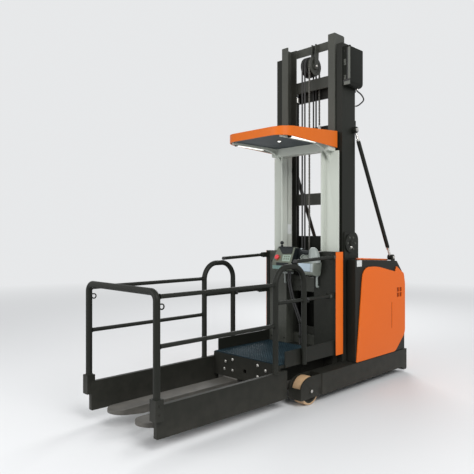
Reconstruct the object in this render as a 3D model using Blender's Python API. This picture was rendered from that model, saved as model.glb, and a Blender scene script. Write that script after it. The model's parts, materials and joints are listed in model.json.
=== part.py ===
"""Electric man-up order picker with a two-stage mast, forks and a railed picking platform.

The chassis stands on two load wheels and one steered drive wheel. Its body and the outer mast
are fixed; the inner mast slides in the outer one and the operator platform slides on the inner
mast. Metres, +Z up. The forks point to -X, the body is at +X and the left side is +Y. The origin
is on the floor under the middle of the bounding box.
"""
import math

import bmesh
import bpy
from mathutils import Matrix, Vector

SEAT = 0.0003                  # gap between pieces that rest on each other
EMBED = 0.004                  # how far one fused solid runs into the next
SIDES = {"left": 1, "right": -1}

# Overall size
HALF_LENGTH = 1.634            # origin to the post sockets in front and to the rear wall behind
HALF_WIDTH = 0.532             # outer faces of the straddle legs
MAST_SETBACK = 1.031           # front of the outer mast to the rear wall
DRIVE_SETBACK = 0.334          # drive wheel axis to the rear wall

# Outer mast
OUTER_FRONT = HALF_LENGTH - MAST_SETBACK
OUTER_DEPTH = 0.219
OUTER_REAR = OUTER_FRONT + OUTER_DEPTH
OUTER_FLANGE = 0.068
OUTER_WEB = 0.012
OUTER_THICK = 0.014
OUTER_TOP = 3.320
CROSS_DEPTH = 0.026
FOOT_CROSS = 0.210             # heights of the cross members and of their lower edges
MIDDLE_CROSS = 0.160
MIDDLE_CROSS_Z = 1.300
UPPER_CROSS = 0.100
UPPER_CROSS_Z = 2.500
TOP_CROSS = 0.110
TOP_CROSS_DROP = 0.330

# Straddle legs and base
LEG_WIDTH = 0.147
LEG_BOTTOM = 0.064
LEG_TOP = 0.250
BASE_FRONT = OUTER_FRONT - 0.003
BASE_THICK = 0.050
REAR_WALL = 0.030
FORK_PLATE = 0.012             # plates on both sides of a load wheel
PLATE_INSET = 0.007            # outer wheel plate behind the leg's outer face
GUARD_REACH = 0.145            # wheel axis to the front of its guard
GUARD_HEIGHT = 0.160
TOE_LENGTH = 0.100
TOE_DROP = 0.032

# Load wheels
LOAD_WHEEL_X = OUTER_FRONT - 0.623
LOAD_WHEEL_RADIUS = 0.1225
LOAD_TYRE = 0.018
WHEEL_SIDE_GAP = 0.004
AXLE_RADIUS = 0.015
BORE_GAP = 0.0008
HUB_WALL = 0.022

# Drive wheel and its steering yoke
DRIVE_X = HALF_LENGTH - DRIVE_SETBACK
DRIVE_RADIUS = 0.170
DRIVE_WIDTH = 0.110
DRIVE_TYRE = 0.030
YOKE_PLATE = 0.015
YOKE_GAP = 0.010
YOKE_HALF = 0.100
TURRET_RADIUS = 0.150
TURRET_THICK = 0.025
TURRET_SHAFT = 0.050
TYRE_CLEARANCE = 0.020         # drive tyre to the turret
BRIDGE_THICK = 0.020
BRIDGE_HALF = 0.250
BRIDGE_REACH = 0.160
BRIDGE_WEB = 0.018
BRIDGE_LIFT = 0.012            # running gap between the turret and the bridge
DRIVE_HOLE = 0.210

# Body on the chassis
HOUSING_FRONT = OUTER_FRONT + 0.062
HOUSING_SKIN = 0.012
HOUSING_TOP = 1.243
COVER_THICK = 0.0117
TOP_COVER_THICK = 0.017
REAR_COVER_THICK = 0.024
REAR_SLOPE = 0.160             # length and height of the slope at the top of the rear
REAR_SLOPE_DROP = 0.213
BAY_WALL = 0.095               # side walls of the open bay that the mast stands in
BAY_REAR = OUTER_REAR + 0.038
BATTERY_CLEARANCE = 0.028      # battery to the steering bridge
BATTERY_HEIGHT = 0.690
BATTERY_GAP = 0.020
COVER_MARGIN = 0.004           # side cover inside the housing's front and the leg's top
COVER_REAR_MARGIN = 0.006
COVER_CORNER = 0.100
COVER_REAR_RISE = 0.170        # height and length of the cut corner at the cover's foot
COVER_REAR_CUT = 0.204
COVER_LEAN = 0.070             # how far the cover's front edge leans back
COVER_FRONT_DROP = 0.085       # housing top to the cover's upper front corner
COVER_FRONT_ROUND = 0.120
# Upper edge from the rear to the front: distance before the cover's rear edge, drop from the
# housing top and corner radius; the short step up is the lip of the battery's cover.
COVER_CROWN = ((0.000, 0.288, 0.020), (0.027, 0.180, 0.030), (0.179, 0.101, 0.010),
               (0.204, 0.155, 0.004), (0.584, 0.086, 1.000))
SLOT_X = HALF_LENGTH - 0.314
SLOT_WIDTH = 0.010
SLOT_LOW = 0.506
SLOT_HIGH = 0.775
VENT_X = HALF_LENGTH - 0.202
VENT_Z = 0.818
VENT_HOLE = 0.044
VENT_PITCH = 0.055
DOOR_MARGIN = 0.030
LOUVRE_HALF = 0.210
LOUVRE_HEIGHT = 0.016
LOUVRE_PITCH = 0.040
LOUVRES = 6

# Inner mast
MAST_SIDE_GAP = 0.012          # outer mast to the walls of its bay
INNER_LEAD = 0.013
INNER_FRONT = OUTER_FRONT - INNER_LEAD
INNER_DEPTH = 0.150
INNER_REAR = INNER_FRONT + INNER_DEPTH
INNER_SIDE_GAP = 0.066         # inner mast to the outer mast's web
INNER_FLANGE = 0.079
INNER_WEB = 0.010
INNER_THICK = 0.012
INNER_RISE = 0.110             # inner mast's top over the outer one's
INNER_TOP = OUTER_TOP + INNER_RISE
INNER_LIFT = 0.012             # gap below the inner mast
INNER_CROSS_DEPTH = 0.022
INNER_FOOT_Z = 0.400
INNER_MIDDLE_Z = 1.780
INNER_CROSS = 0.120            # height of the two lower cross members
INNER_UPPER_DROP = 0.465       # inner mast's top to the lower edges of the two upper ones
INNER_UPPER = 0.115
INNER_HEAD_DROP = 0.083
INNER_HEAD = 0.080

# Guide rollers of the inner mast, in the outer channels
RUN_GAP = 0.0005               # a roller's play between the flanges it runs on
GUIDE_ROWS = (0.400, 0.900)
GUIDE_SIDE_GAP = 0.006

# Lift cylinders
CYLINDER_X = OUTER_REAR - 0.034
CYLINDER_INSET = 0.045         # cylinder axis inside the inner mast's outer face
BARREL_RADIUS = 0.022
BARREL_BORE = 0.0160
ROD_RADIUS = 0.0140
BARREL_DROP = 0.390            # outer mast's top to the barrel's
ROD_BOTTOM = 0.450
CLAMP_HALF = 0.012
CLAMP_MARGIN = 0.020           # clamp inside the edges of its cross member

# Sheave and lift chains
SHEAVE_X = INNER_FRONT + 0.120
SHEAVE_DROP = 0.120            # outer mast's top to the sheave's axis
SHEAVE_RADIUS = 0.095
SHEAVE_WIDTH = 0.030
SHEAVE_PIN = 0.012
CHAIN_PITCH_RADIUS = 0.084
CHAIN_WIDTH = 0.018
CHAIN_THICK = 0.014
CHAIN_WAIST = 0.009
CHAIN_PITCH = 0.040
ANCHOR_Z = UPPER_CROSS_Z + UPPER_CROSS

# Mast stays
STAY_RADIUS = 0.020
STAY_TOP_X = OUTER_REAR - 0.032
STAY_TOP_Z = 2.500
STAY_FOOT_X = HALF_LENGTH - 0.216
STAY_FOOT_RISE = 0.036
STAY_FOOT_OUT = 0.035          # stay's foot outside the bay's wall
STAY_EYE = 0.030
STAY_EYE_WIDTH = 0.044
STAY_LUG = 0.016
LUG_HALF = 0.030

# Mast foot brackets, and the box near the mast top with its hose
FOOT_FRONT = OUTER_FRONT + 0.020
FOOT_REAR = OUTER_REAR + 0.040
FOOT_TOP = 1.500
FOOT_ROUND = 0.080
FOOT_PLATE = 0.012
FOOT_DISC = 0.092
FOOT_DISC_X = OUTER_FRONT + 0.115
FOOT_DISC_DROP = 0.110
FOOT_DISC_THICK = 0.014
BOX_FRONT = OUTER_FRONT + 0.009
BOX_REAR = OUTER_REAR + 0.016
BOX_DEPTH = 0.086
BOX_HEIGHT = 0.380
BOX_DROP = 0.040               # outer mast's top to the box's
BOX_ROUND = 0.045
BOX_LIP = 0.012
HOSE_RADIUS = 0.007
HOSE_BULGE = 0.150             # how far the hose's loop stands out behind the mast
HOSE_DROP = 0.155

# Operator platform
PLATFORM_GAP = 0.0073          # platform to the inner mast
DECK_REAR = INNER_FRONT - PLATFORM_GAP
DECK_LENGTH = 0.8927
APRON_X = DECK_REAR - DECK_LENGTH
APRON_THICK = 0.015
APRON_BOTTOM = 0.165
APRON_HOLE = 0.020
APRON_HOLE_RISE = 0.085
DECK_TOP = 0.370
DECK_THICK = 0.025
REAR_BEAM_LENGTH = 0.080
REAR_BEAM_INSET = 0.035
MAT_THICK = 0.010
MAT_MARGIN = 0.004
TOE_BOARD_HEIGHT = 0.110
TOE_BOARD_THICK = 0.010
BEAM_WIDTH = 0.150
FORK_Y = 0.186
FORK_WIDTH = 0.180
FORK_TOP = 0.156
FORK_THICK = 0.066
FORK_TIP_X = -HALF_LENGTH + 0.054
FORK_ROOT_X = APRON_X + 0.460
FORK_TAPER = 0.250
FORK_TIP_THICK = 0.030
FORK_TIP_SLOPE = 0.030
HEEL_LAP = 0.004               # how far the raised heel shows in front of the apron

# Skirts and guard rails
SKIRT_INSET = 0.087            # skirts inside the straddle legs' outer faces
SKIRT_THICK = 0.035
SKIRT_BOTTOM = 0.100
SKIRT_TOP = 0.326
SKIRT_FALL = 0.010
SKIRT_LAP = 0.060              # how far the skirts run beside the deck
POST_RADIUS = 0.025
POST_BEND = 0.060
END_BAR_Z = 1.090
SOCKET_HALF = 0.034
SOCKET_BOTTOM = 0.230
SOCKET_TOP = 0.378
HOOK_Z = 0.990
HOOK_RADIUS = 0.018
HOOK_BAR = 0.005
TOP_RAIL_Z = 1.060
MID_RAIL_Z = 0.724
RAIL_RADIUS = 0.016
HOOP_LEAD = 0.090              # front leg of a hoop to the apron
HOOP_LENGTH = 0.375
HOOP_RADIUS = 0.024
HOOP_TOP = 1.225
HOOP_BEND = 0.110
HOOP_BAR_Z = 0.907
REST_HALF = 0.014
REST_REACH = 0.035
REST_THICK = 0.010

# Rear of the compartment
COLUMN_LENGTH = 0.116
COLUMN_SETBACK = 0.0067
COLUMN_REAR = DECK_REAR - COLUMN_SETBACK
COLUMN_FRONT = COLUMN_REAR - COLUMN_LENGTH
COLUMN_INSET = 0.0077          # column's face inside the skirts' outer faces
COLUMN_WIDTH = 0.0323
COLUMN_BOTTOM = 0.340
COLUMN_TOP = 1.310
COLUMN_COVER = 0.0027
BULKHEAD_FRONT = COLUMN_FRONT + 0.012
BULKHEAD_INNER = 0.175
BULKHEAD_SHOULDER = 1.150
BULKHEAD_ROUND = 0.050
BULKHEAD_WALL = 0.008
POST_LAP = 0.008               # bulkhead's post inside the pillar's inner face

# Swing-up gate bars
GATE_RADIUS = 0.016
GATE_LAP = 0.139               # how far a top gate bar lies over the hoop
GATE_TOP_PIVOT_X = COLUMN_FRONT - 0.050
GATE_MID_PIVOT_X = COLUMN_FRONT - 0.110
GATE_MID_GAP = 0.006
GATE_EYE = 0.024
GATE_EYE_WIDTH = 0.033
GATE_PIN = 0.008
GATE_PLATE_GAP = 0.0045
GATE_PLATE_THICK = 0.012
GATE_PLATE_HALF = 0.026

# Overhead guard
PILLAR_SETBACK = 0.0327
PILLAR_WIDTH = 0.162
PILLAR_WALL = 0.016
PILLAR_FLANGE = 0.094
HEADER_BOTTOM = 2.275
HEADER_DEPTH = 0.110
ROOF_GAP = 0.0007
ROOF_REAR = DECK_REAR - ROOF_GAP
ROOF_LENGTH = 0.802
ROOF_FRONT = ROOF_REAR - ROOF_LENGTH
ROOF_SIDE_INSET = 0.030
ROOF_TOP_FRONT = 2.420
ROOF_TOP_REAR = 2.470
ROOF_EDGE_FRONT = 2.345
ROOF_EDGE_REAR = 2.310
ROOF_WALL = 0.012
ROOF_CORNER = 0.150
ROOF_REAR_CORNER = 0.008
LINING_THICK = 0.012
LINING_DROP = 0.045
ARM_Y = 0.300
ARM_HALF = 0.014
ARM_THICK = 0.022
ARM_FRONT_GAP = 0.040
GUSSET_REACH = 0.300
GUSSET_DROP = 0.115

# Carriage
CARRIAGE_SIDE_GAP = 0.009
CARRIAGE_BOTTOM = 0.320
CARRIAGE_TOP = 1.050
CARRIAGE_PLATE = 0.015
CARRIAGE_REAR = INNER_REAR - 0.040
CARRIAGE_CROSS = 0.150
ROLLER_INSET = 0.090
ANCHOR_HALF = 0.030
ANCHOR_HEIGHT = 0.100
ANCHOR_GAP = 0.007

# Operator consoles
CONSOLE_DEPTH = 0.122
CONSOLE_INNER = 0.050
CONSOLE_SIDE_GAP = 0.085       # console to the column beside it
CONSOLE_BOTTOM = 1.080
CONSOLE_EDGE = 1.200
CONSOLE_TOP = 1.345
CONSOLE_FLAT = 0.060
CONSOLE_ROUND = 0.020
DISPLAY_TOP = 1.205
HOOD_SETBACK = 0.035
HOOD_INSET = 0.035
BUTTON_RADIUS = 0.022
BUTTON_HEIGHT = 0.030
KNOB_RADIUS = 0.020
STALK_RADIUS = 0.007
STALK_HEIGHT = 0.045
CONTROL_Y = 0.230              # emergency button; the knob stands at KNOB_Y
KNOB_Y = 0.180
LOOM_Y = 0.110                 # hoses from the left console to the deck
LOOM_SPACING = 0.024
LOOM_RADIUS = 0.009
LOOM_SAG = 0.090
CLIP_HALF = 0.012

# Values worked out from the ones above
LEG_INNER = HALF_WIDTH - LEG_WIDTH
LOAD_AXIS = (LOAD_WHEEL_X, LOAD_WHEEL_RADIUS)
OUTER_PLATE = HALF_WIDTH - PLATE_INSET
LOAD_WHEEL_INNER = LEG_INNER + FORK_PLATE + WHEEL_SIDE_GAP
LOAD_WHEEL_OUTER = OUTER_PLATE - FORK_PLATE - WHEEL_SIDE_GAP
LEG_FRONT = LOAD_WHEEL_X + GUARD_REACH
HOUSING_HALF = HALF_WIDTH - COVER_THICK - SEAT
HOUSING_BOTTOM = LEG_TOP + SEAT
HOUSING_REAR = HALF_LENGTH - REAR_COVER_THICK - SEAT
BAY_HALF = HOUSING_HALF - BAY_WALL
OUTER_HALF = BAY_HALF - MAST_SIDE_GAP
INNER_HALF = OUTER_HALF - OUTER_WEB - INNER_SIDE_GAP
CARRIAGE_HALF = INNER_HALF - INNER_FLANGE - CARRIAGE_SIDE_GAP
CYLINDER_Y = INNER_HALF - CYLINDER_INSET
BARREL_TOP = OUTER_TOP - BARREL_DROP
SHEAVE_Z = OUTER_TOP - SHEAVE_DROP
STAY_FOOT_Y = BAY_HALF + STAY_FOOT_OUT
BOX_TOP = OUTER_TOP - BOX_DROP
BOX_BOTTOM = BOX_TOP - BOX_HEIGHT
BRIDGE_BOTTOM = 2 * DRIVE_RADIUS + TYRE_CLEARANCE + TURRET_THICK + BRIDGE_LIFT
RAIL_Y = HALF_WIDTH - SKIRT_INSET
DECK_HALF = RAIL_Y - HOOP_RADIUS - SEAT
POST_X = -HALF_LENGTH + SOCKET_HALF
SKIRT_REAR = APRON_X + SKIRT_LAP
HOOP_FRONT_X = APRON_X - HOOP_LEAD
HOOP_REAR_X = HOOP_FRONT_X + HOOP_LENGTH
GATE_TOP_FRONT = HOOP_REAR_X - GATE_LAP
GATE_TOP_Z = HOOP_TOP + HOOP_RADIUS + GATE_RADIUS + SEAT
GATE_PLATE_OUTER = RAIL_Y - GATE_EYE_WIDTH / 2 - GATE_PLATE_GAP
COLUMN_OUTER = RAIL_Y - COLUMN_INSET
COLUMN_INNER = COLUMN_OUTER - COLUMN_WIDTH
PILLAR_FRONT = DECK_REAR - PILLAR_SETBACK
PILLAR_OUTER = COLUMN_INNER
PILLAR_INNER = PILLAR_OUTER - PILLAR_WIDTH
ROOF_HALF = PILLAR_OUTER - ROOF_SIDE_INSET
LINING_Z = ROOF_EDGE_REAR + LINING_DROP
MAT_TOP = DECK_TOP + MAT_THICK
HEEL_TOP = APRON_BOTTOM - SEAT
SHEAVE_CHAIN_X = SHEAVE_X - CHAIN_PITCH_RADIUS


def material(name, colour, roughness, metallic=0.0):
    """Principled material with the piece's plain colour."""
    made = bpy.data.materials.new(name)
    made.use_nodes = True
    shader = made.node_tree.nodes["Principled BSDF"]
    shader.inputs["Base Color"].default_value = (*colour, 1.0)
    shader.inputs["Roughness"].default_value = roughness
    shader.inputs["Metallic"].default_value = metallic
    made.diffuse_color = (*colour, 1.0)
    return made


def scratch(bm):
    """A mesh object made from a bmesh, with its faces turned outwards."""
    bmesh.ops.recalc_face_normals(bm, faces=bm.faces)
    mesh = bpy.data.meshes.new("solid")
    bm.to_mesh(mesh)
    bm.free()
    made = bpy.data.objects.new("solid", mesh)
    bpy.context.scene.collection.objects.link(made)
    return made


def span(side, inner, outer):
    """The Y range between two distances from the middle plane, on one side."""
    return tuple(sorted((side * inner, side * outer)))


def block(x_range, y_range, z_range, bevel=0.0):
    """A box between three ranges, with its edges bevelled where a width is given."""
    bm = bmesh.new()
    bmesh.ops.create_cube(bm, size=1.0)
    for vert in bm.verts:
        for axis, (low, high) in enumerate((x_range, y_range, z_range)):
            vert.co[axis] = low + (vert.co[axis] + 0.5) * (high - low)
    if bevel:
        bmesh.ops.bevel(bm, geom=bm.edges[:], offset=bevel, segments=2, affect="EDGES", profile=0.5)
    return scratch(bm)


def arc(centre, radius, start, stop, steps):
    """Points on an arc in a plane, with its angles in degrees."""
    angles = [math.radians(start + (stop - start) * i / steps) for i in range(steps + 1)]
    return [(centre[0] + radius * math.cos(a), centre[1] + radius * math.sin(a)) for a in angles]


def rounded(corners, steps=4):
    """A closed outline from rows of (first, second, fillet radius)."""
    points = []
    for index, (first, second, radius) in enumerate(corners):
        corner = Vector((first, second))
        if not radius:
            points.append((first, second))
            continue
        back = (Vector(corners[index - 1][:2]) - corner).normalized()
        ahead = (Vector(corners[(index + 1) % len(corners)][:2]) - corner).normalized()
        half = back.angle(ahead) / 2
        reach = radius / math.tan(half)
        centre = corner + (back + ahead).normalized() * radius / math.sin(half)
        begin = corner + back * reach - centre
        turn = begin.angle_signed(corner + ahead * reach - centre)
        for step in range(steps + 1):
            spoke = begin.copy()
            spoke.rotate(Matrix.Rotation(-turn * step / steps, 2))
            points.append(tuple(centre + spoke))
    return points


def prism(outline, axis, low, high):
    """An outline extruded along an axis. Its points are (Y, Z), (X, Z) or (X, Y)."""
    place = {
        "x": lambda a, b, c: (c, a, b),
        "y": lambda a, b, c: (a, c, b),
        "z": lambda a, b, c: (a, b, c),
    }[axis]
    bm = bmesh.new()
    face = bm.faces.new([bm.verts.new(place(a, b, low)) for a, b in outline])
    moved = bmesh.ops.extrude_face_region(bm, geom=[face])
    shift = Vector(place(0.0, 0.0, high - low))
    bmesh.ops.translate(bm, vec=shift, verts=[g for g in moved["geom"] if isinstance(g, bmesh.types.BMVert)])
    return scratch(bm)


def cylinder(axis, centre, radius, low, high, sides=24):
    """A cylinder along an axis; the centre is given in the other two coordinates."""
    outline = arc(centre, radius, 0, 360, sides)[:-1]
    return prism(outline, axis, low, high)


def turned(profile, axis_x, axis_z, sides=36):
    """A closed profile of (Y, radius) points turned about an axis along Y, a vertex at its foot."""
    bm = bmesh.new()
    rings = []
    for step in range(sides):
        angle = 2 * math.pi * step / sides
        ring = [
            bm.verts.new((axis_x + radius * math.sin(angle), y, axis_z - radius * math.cos(angle)))
            for y, radius in profile
        ]
        rings.append(ring)
    for step in range(sides):
        ring, after = rings[step], rings[(step + 1) % sides]
        for i in range(len(profile)):
            j = (i + 1) % len(profile)
            bm.faces.new((ring[i], ring[j], after[j], after[i]))
    return scratch(bm)


def bent(points, bends, steps=5):
    """The points of a path whose inner corners are rounded to the given bend radius."""
    path = [Vector(points[0])]
    for before, corner, after in zip(points, points[1:], points[2:]):
        corner = Vector(corner)
        back = (Vector(before) - corner).normalized()
        ahead = (Vector(after) - corner).normalized()
        half = back.angle(ahead) / 2
        centre = corner + (back + ahead).normalized() * bends / math.sin(half)
        begin = corner + back * bends / math.tan(half) - centre
        end = corner + ahead * bends / math.tan(half) - centre
        turn, around = begin.angle(end), begin.cross(end)
        for step in range(steps + 1):
            path.append(centre + Matrix.Rotation(turn * step / steps, 3, around) @ begin)
    return path + [Vector(points[-1])]


def tube(path, radius, resolution=2):
    """A round bar along a path: a bevelled curve with filled caps, made a mesh."""
    curve = bpy.data.curves.new("bar", "CURVE")
    curve.dimensions = "3D"
    curve.bevel_depth = radius
    curve.bevel_resolution = resolution
    curve.use_fill_caps = True
    spline = curve.splines.new("POLY")
    spline.points.add(len(path) - 1)
    for point, place in zip(spline.points, path):
        point.co = (*place, 1.0)
    carrier = bpy.data.objects.new("bar", curve)
    bpy.context.scene.collection.objects.link(carrier)
    bpy.context.view_layer.update()
    mesh = bpy.data.meshes.new_from_object(carrier.evaluated_get(bpy.context.evaluated_depsgraph_get()))
    bpy.data.objects.remove(carrier)
    bm = bmesh.new()
    bm.from_mesh(mesh)
    bmesh.ops.remove_doubles(bm, verts=bm.verts, dist=1e-5)
    return scratch(bm)


def node(name, paint, solids, cuts=(), kept=()):
    """One named node: the first solid, with others united, cut away or intersected."""
    made = solids[0]
    tools = [("UNION", s) for s in solids[1:]] + [("INTERSECT", s) for s in kept]
    tools += [("DIFFERENCE", s) for s in cuts]
    for operation, tool in tools:
        modifier = made.modifiers.new(operation.title(), "BOOLEAN")
        modifier.operation = operation
        modifier.object = tool
    bpy.context.view_layer.update()
    mesh = bpy.data.meshes.new_from_object(made.evaluated_get(bpy.context.evaluated_depsgraph_get()))
    made.modifiers.clear()
    made.data = mesh
    for _, tool in tools:
        bpy.data.objects.remove(tool)
    mesh.materials.clear()
    mesh.materials.append(paint)
    mesh.shade_smooth()
    mesh.set_sharp_from_angle(angle=math.radians(30))
    made.name = name
    mesh.name = name
    return made


def pivot(made, point):
    """Puts a moving piece's origin on its joint's axis, with the shape left where it is."""
    made.data.transform(Matrix.Translation(-Vector(point)))
    made.location = point
    return made


def chassis_frame(steel):
    """Base plate with straddle legs, wheel forks and a rear wall, and the bridge that bears the steering."""
    solids = [block((BASE_FRONT, HALF_LENGTH), (-LEG_INNER - EMBED, LEG_INNER + EMBED),
                    (LEG_TOP - BASE_THICK, LEG_TOP))]
    solids.append(block((HALF_LENGTH - REAR_WALL, HALF_LENGTH), (-HALF_WIDTH + EMBED, HALF_WIDTH - EMBED),
                        (LEG_BOTTOM, LEG_TOP - EMBED)))
    axle_x, axle_z = LOAD_AXIS
    nose_base = axle_x - GUARD_REACH
    plate = [(LEG_FRONT + EMBED, LEG_BOTTOM), (nose_base, LEG_BOTTOM)]
    steps = 6
    for step in range(steps + 1):
        turn = math.pi / 2 * step / steps
        plate.append((axle_x - GUARD_REACH * math.cos(turn),
                      GUARD_HEIGHT + (LEG_TOP - GUARD_HEIGHT) * math.sin(turn)))
    plate.append((LEG_FRONT + EMBED, LEG_TOP))
    toe_low = LEG_BOTTOM - TOE_DROP
    toe = rounded([(HALF_LENGTH - TOE_LENGTH, LEG_BOTTOM + EMBED, 0),
                   (HALF_LENGTH - TOE_LENGTH + TOE_DROP, toe_low, TOE_DROP / 4),
                   (HALF_LENGTH, toe_low, TOE_DROP / 2), (HALF_LENGTH, LEG_BOTTOM + EMBED, 0)])
    for side in SIDES.values():
        inner, outer = LEG_INNER, HALF_WIDTH
        solids.append(block((LEG_FRONT, HALF_LENGTH), span(side, inner, outer), (LEG_BOTTOM, LEG_TOP)))
        for low in (inner, OUTER_PLATE - FORK_PLATE):
            solids.append(prism(plate, "y", *span(side, low, low + FORK_PLATE)))
        solids.append(block((nose_base, nose_base + FORK_PLATE), span(side, inner + EMBED, OUTER_PLATE - EMBED),
                            (LEG_BOTTOM, GUARD_HEIGHT)))
        solids.append(cylinder("y", LOAD_AXIS, AXLE_RADIUS, *span(side, inner + EMBED, OUTER_PLATE + EMBED)))
        solids.append(prism(toe, "y", *span(side, outer - LEG_WIDTH, outer)))
    hole = cylinder("z", (DRIVE_X, 0), DRIVE_HOLE, 0, LEG_TOP + EMBED, 32)
    node("chassis_frame", steel, solids, [hole])

    reach = (DRIVE_X - BRIDGE_REACH, DRIVE_X + BRIDGE_REACH)
    top = BRIDGE_BOTTOM + BRIDGE_THICK
    bridge = [block(reach, (-BRIDGE_HALF, BRIDGE_HALF), (BRIDGE_BOTTOM, top))]
    for side in SIDES.values():
        bridge.append(block(reach, span(side, BRIDGE_HALF - BRIDGE_WEB, BRIDGE_HALF), (LEG_TOP + SEAT, top)))
    bore = cylinder("z", (DRIVE_X, 0), TURRET_SHAFT + BORE_GAP, BRIDGE_BOTTOM - EMBED, top + EMBED, 24)
    node("steering_bridge", steel, bridge, [bore])


def wheel(name, paint, axis, inner, outer, radius, tyre, bore, side=1):
    """A wheel turned about Y: a crowned tyre, a dished face on both sides and a bored hub."""
    x, z = axis
    crown = tyre * 0.25
    rim = radius - tyre
    hub = bore + HUB_WALL
    dish = (outer - inner) * 0.16
    profile = [(inner, bore), (inner, hub), (inner + dish, hub + 0.008), (inner + dish, rim - 0.012),
               (inner, rim), (inner + crown * 0.5, radius - crown), (inner + crown * 2.5, radius),
               (outer - crown * 2.5, radius), (outer - crown * 0.5, radius - crown), (outer, rim),
               (outer - dish, rim - 0.012), (outer - dish, hub + 0.008), (outer, hub), (outer, bore)]
    profile = [(side * y, r) for y, r in profile]
    made = node(name, paint, [turned(profile, x, z)])
    return pivot(made, (x, side * (inner + outer) / 2, z))


def drive_yoke(steel):
    """Steering turret with its shaft, two arms and the drive wheel's axle."""
    arm_inner = DRIVE_WIDTH / 2 + YOKE_GAP
    plate_low = BRIDGE_BOTTOM - BRIDGE_LIFT - TURRET_THICK
    solids = [cylinder("z", (DRIVE_X, 0), TURRET_RADIUS, plate_low, plate_low + TURRET_THICK, 32)]
    solids.append(cylinder("z", (DRIVE_X, 0), TURRET_SHAFT, plate_low + TURRET_THICK - EMBED,
                           BRIDGE_BOTTOM + BRIDGE_THICK + BRIDGE_LIFT, 24))
    arm = [(DRIVE_X - YOKE_HALF, plate_low + EMBED)]
    arm += arc((DRIVE_X, DRIVE_RADIUS), YOKE_HALF / 2, 180, 360, 8)
    arm += [(DRIVE_X + YOKE_HALF, plate_low + EMBED)]
    for side in SIDES.values():
        solids.append(prism(arm, "y", *span(side, arm_inner, arm_inner + YOKE_PLATE)))
    reach = arm_inner + YOKE_PLATE / 2
    solids.append(cylinder("y", (DRIVE_X, DRIVE_RADIUS), AXLE_RADIUS, -reach, reach, 16))
    pivot(node("drive_yoke", steel, solids), (DRIVE_X, 0, plate_low))


def body_outline(front, rear, bottom, top):
    """Side outline of the body, with the slope at the top of its rear."""
    return [(front, bottom), (rear, bottom), (rear, top - REAR_SLOPE_DROP), (rear - REAR_SLOPE, top), (front, top)]


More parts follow.
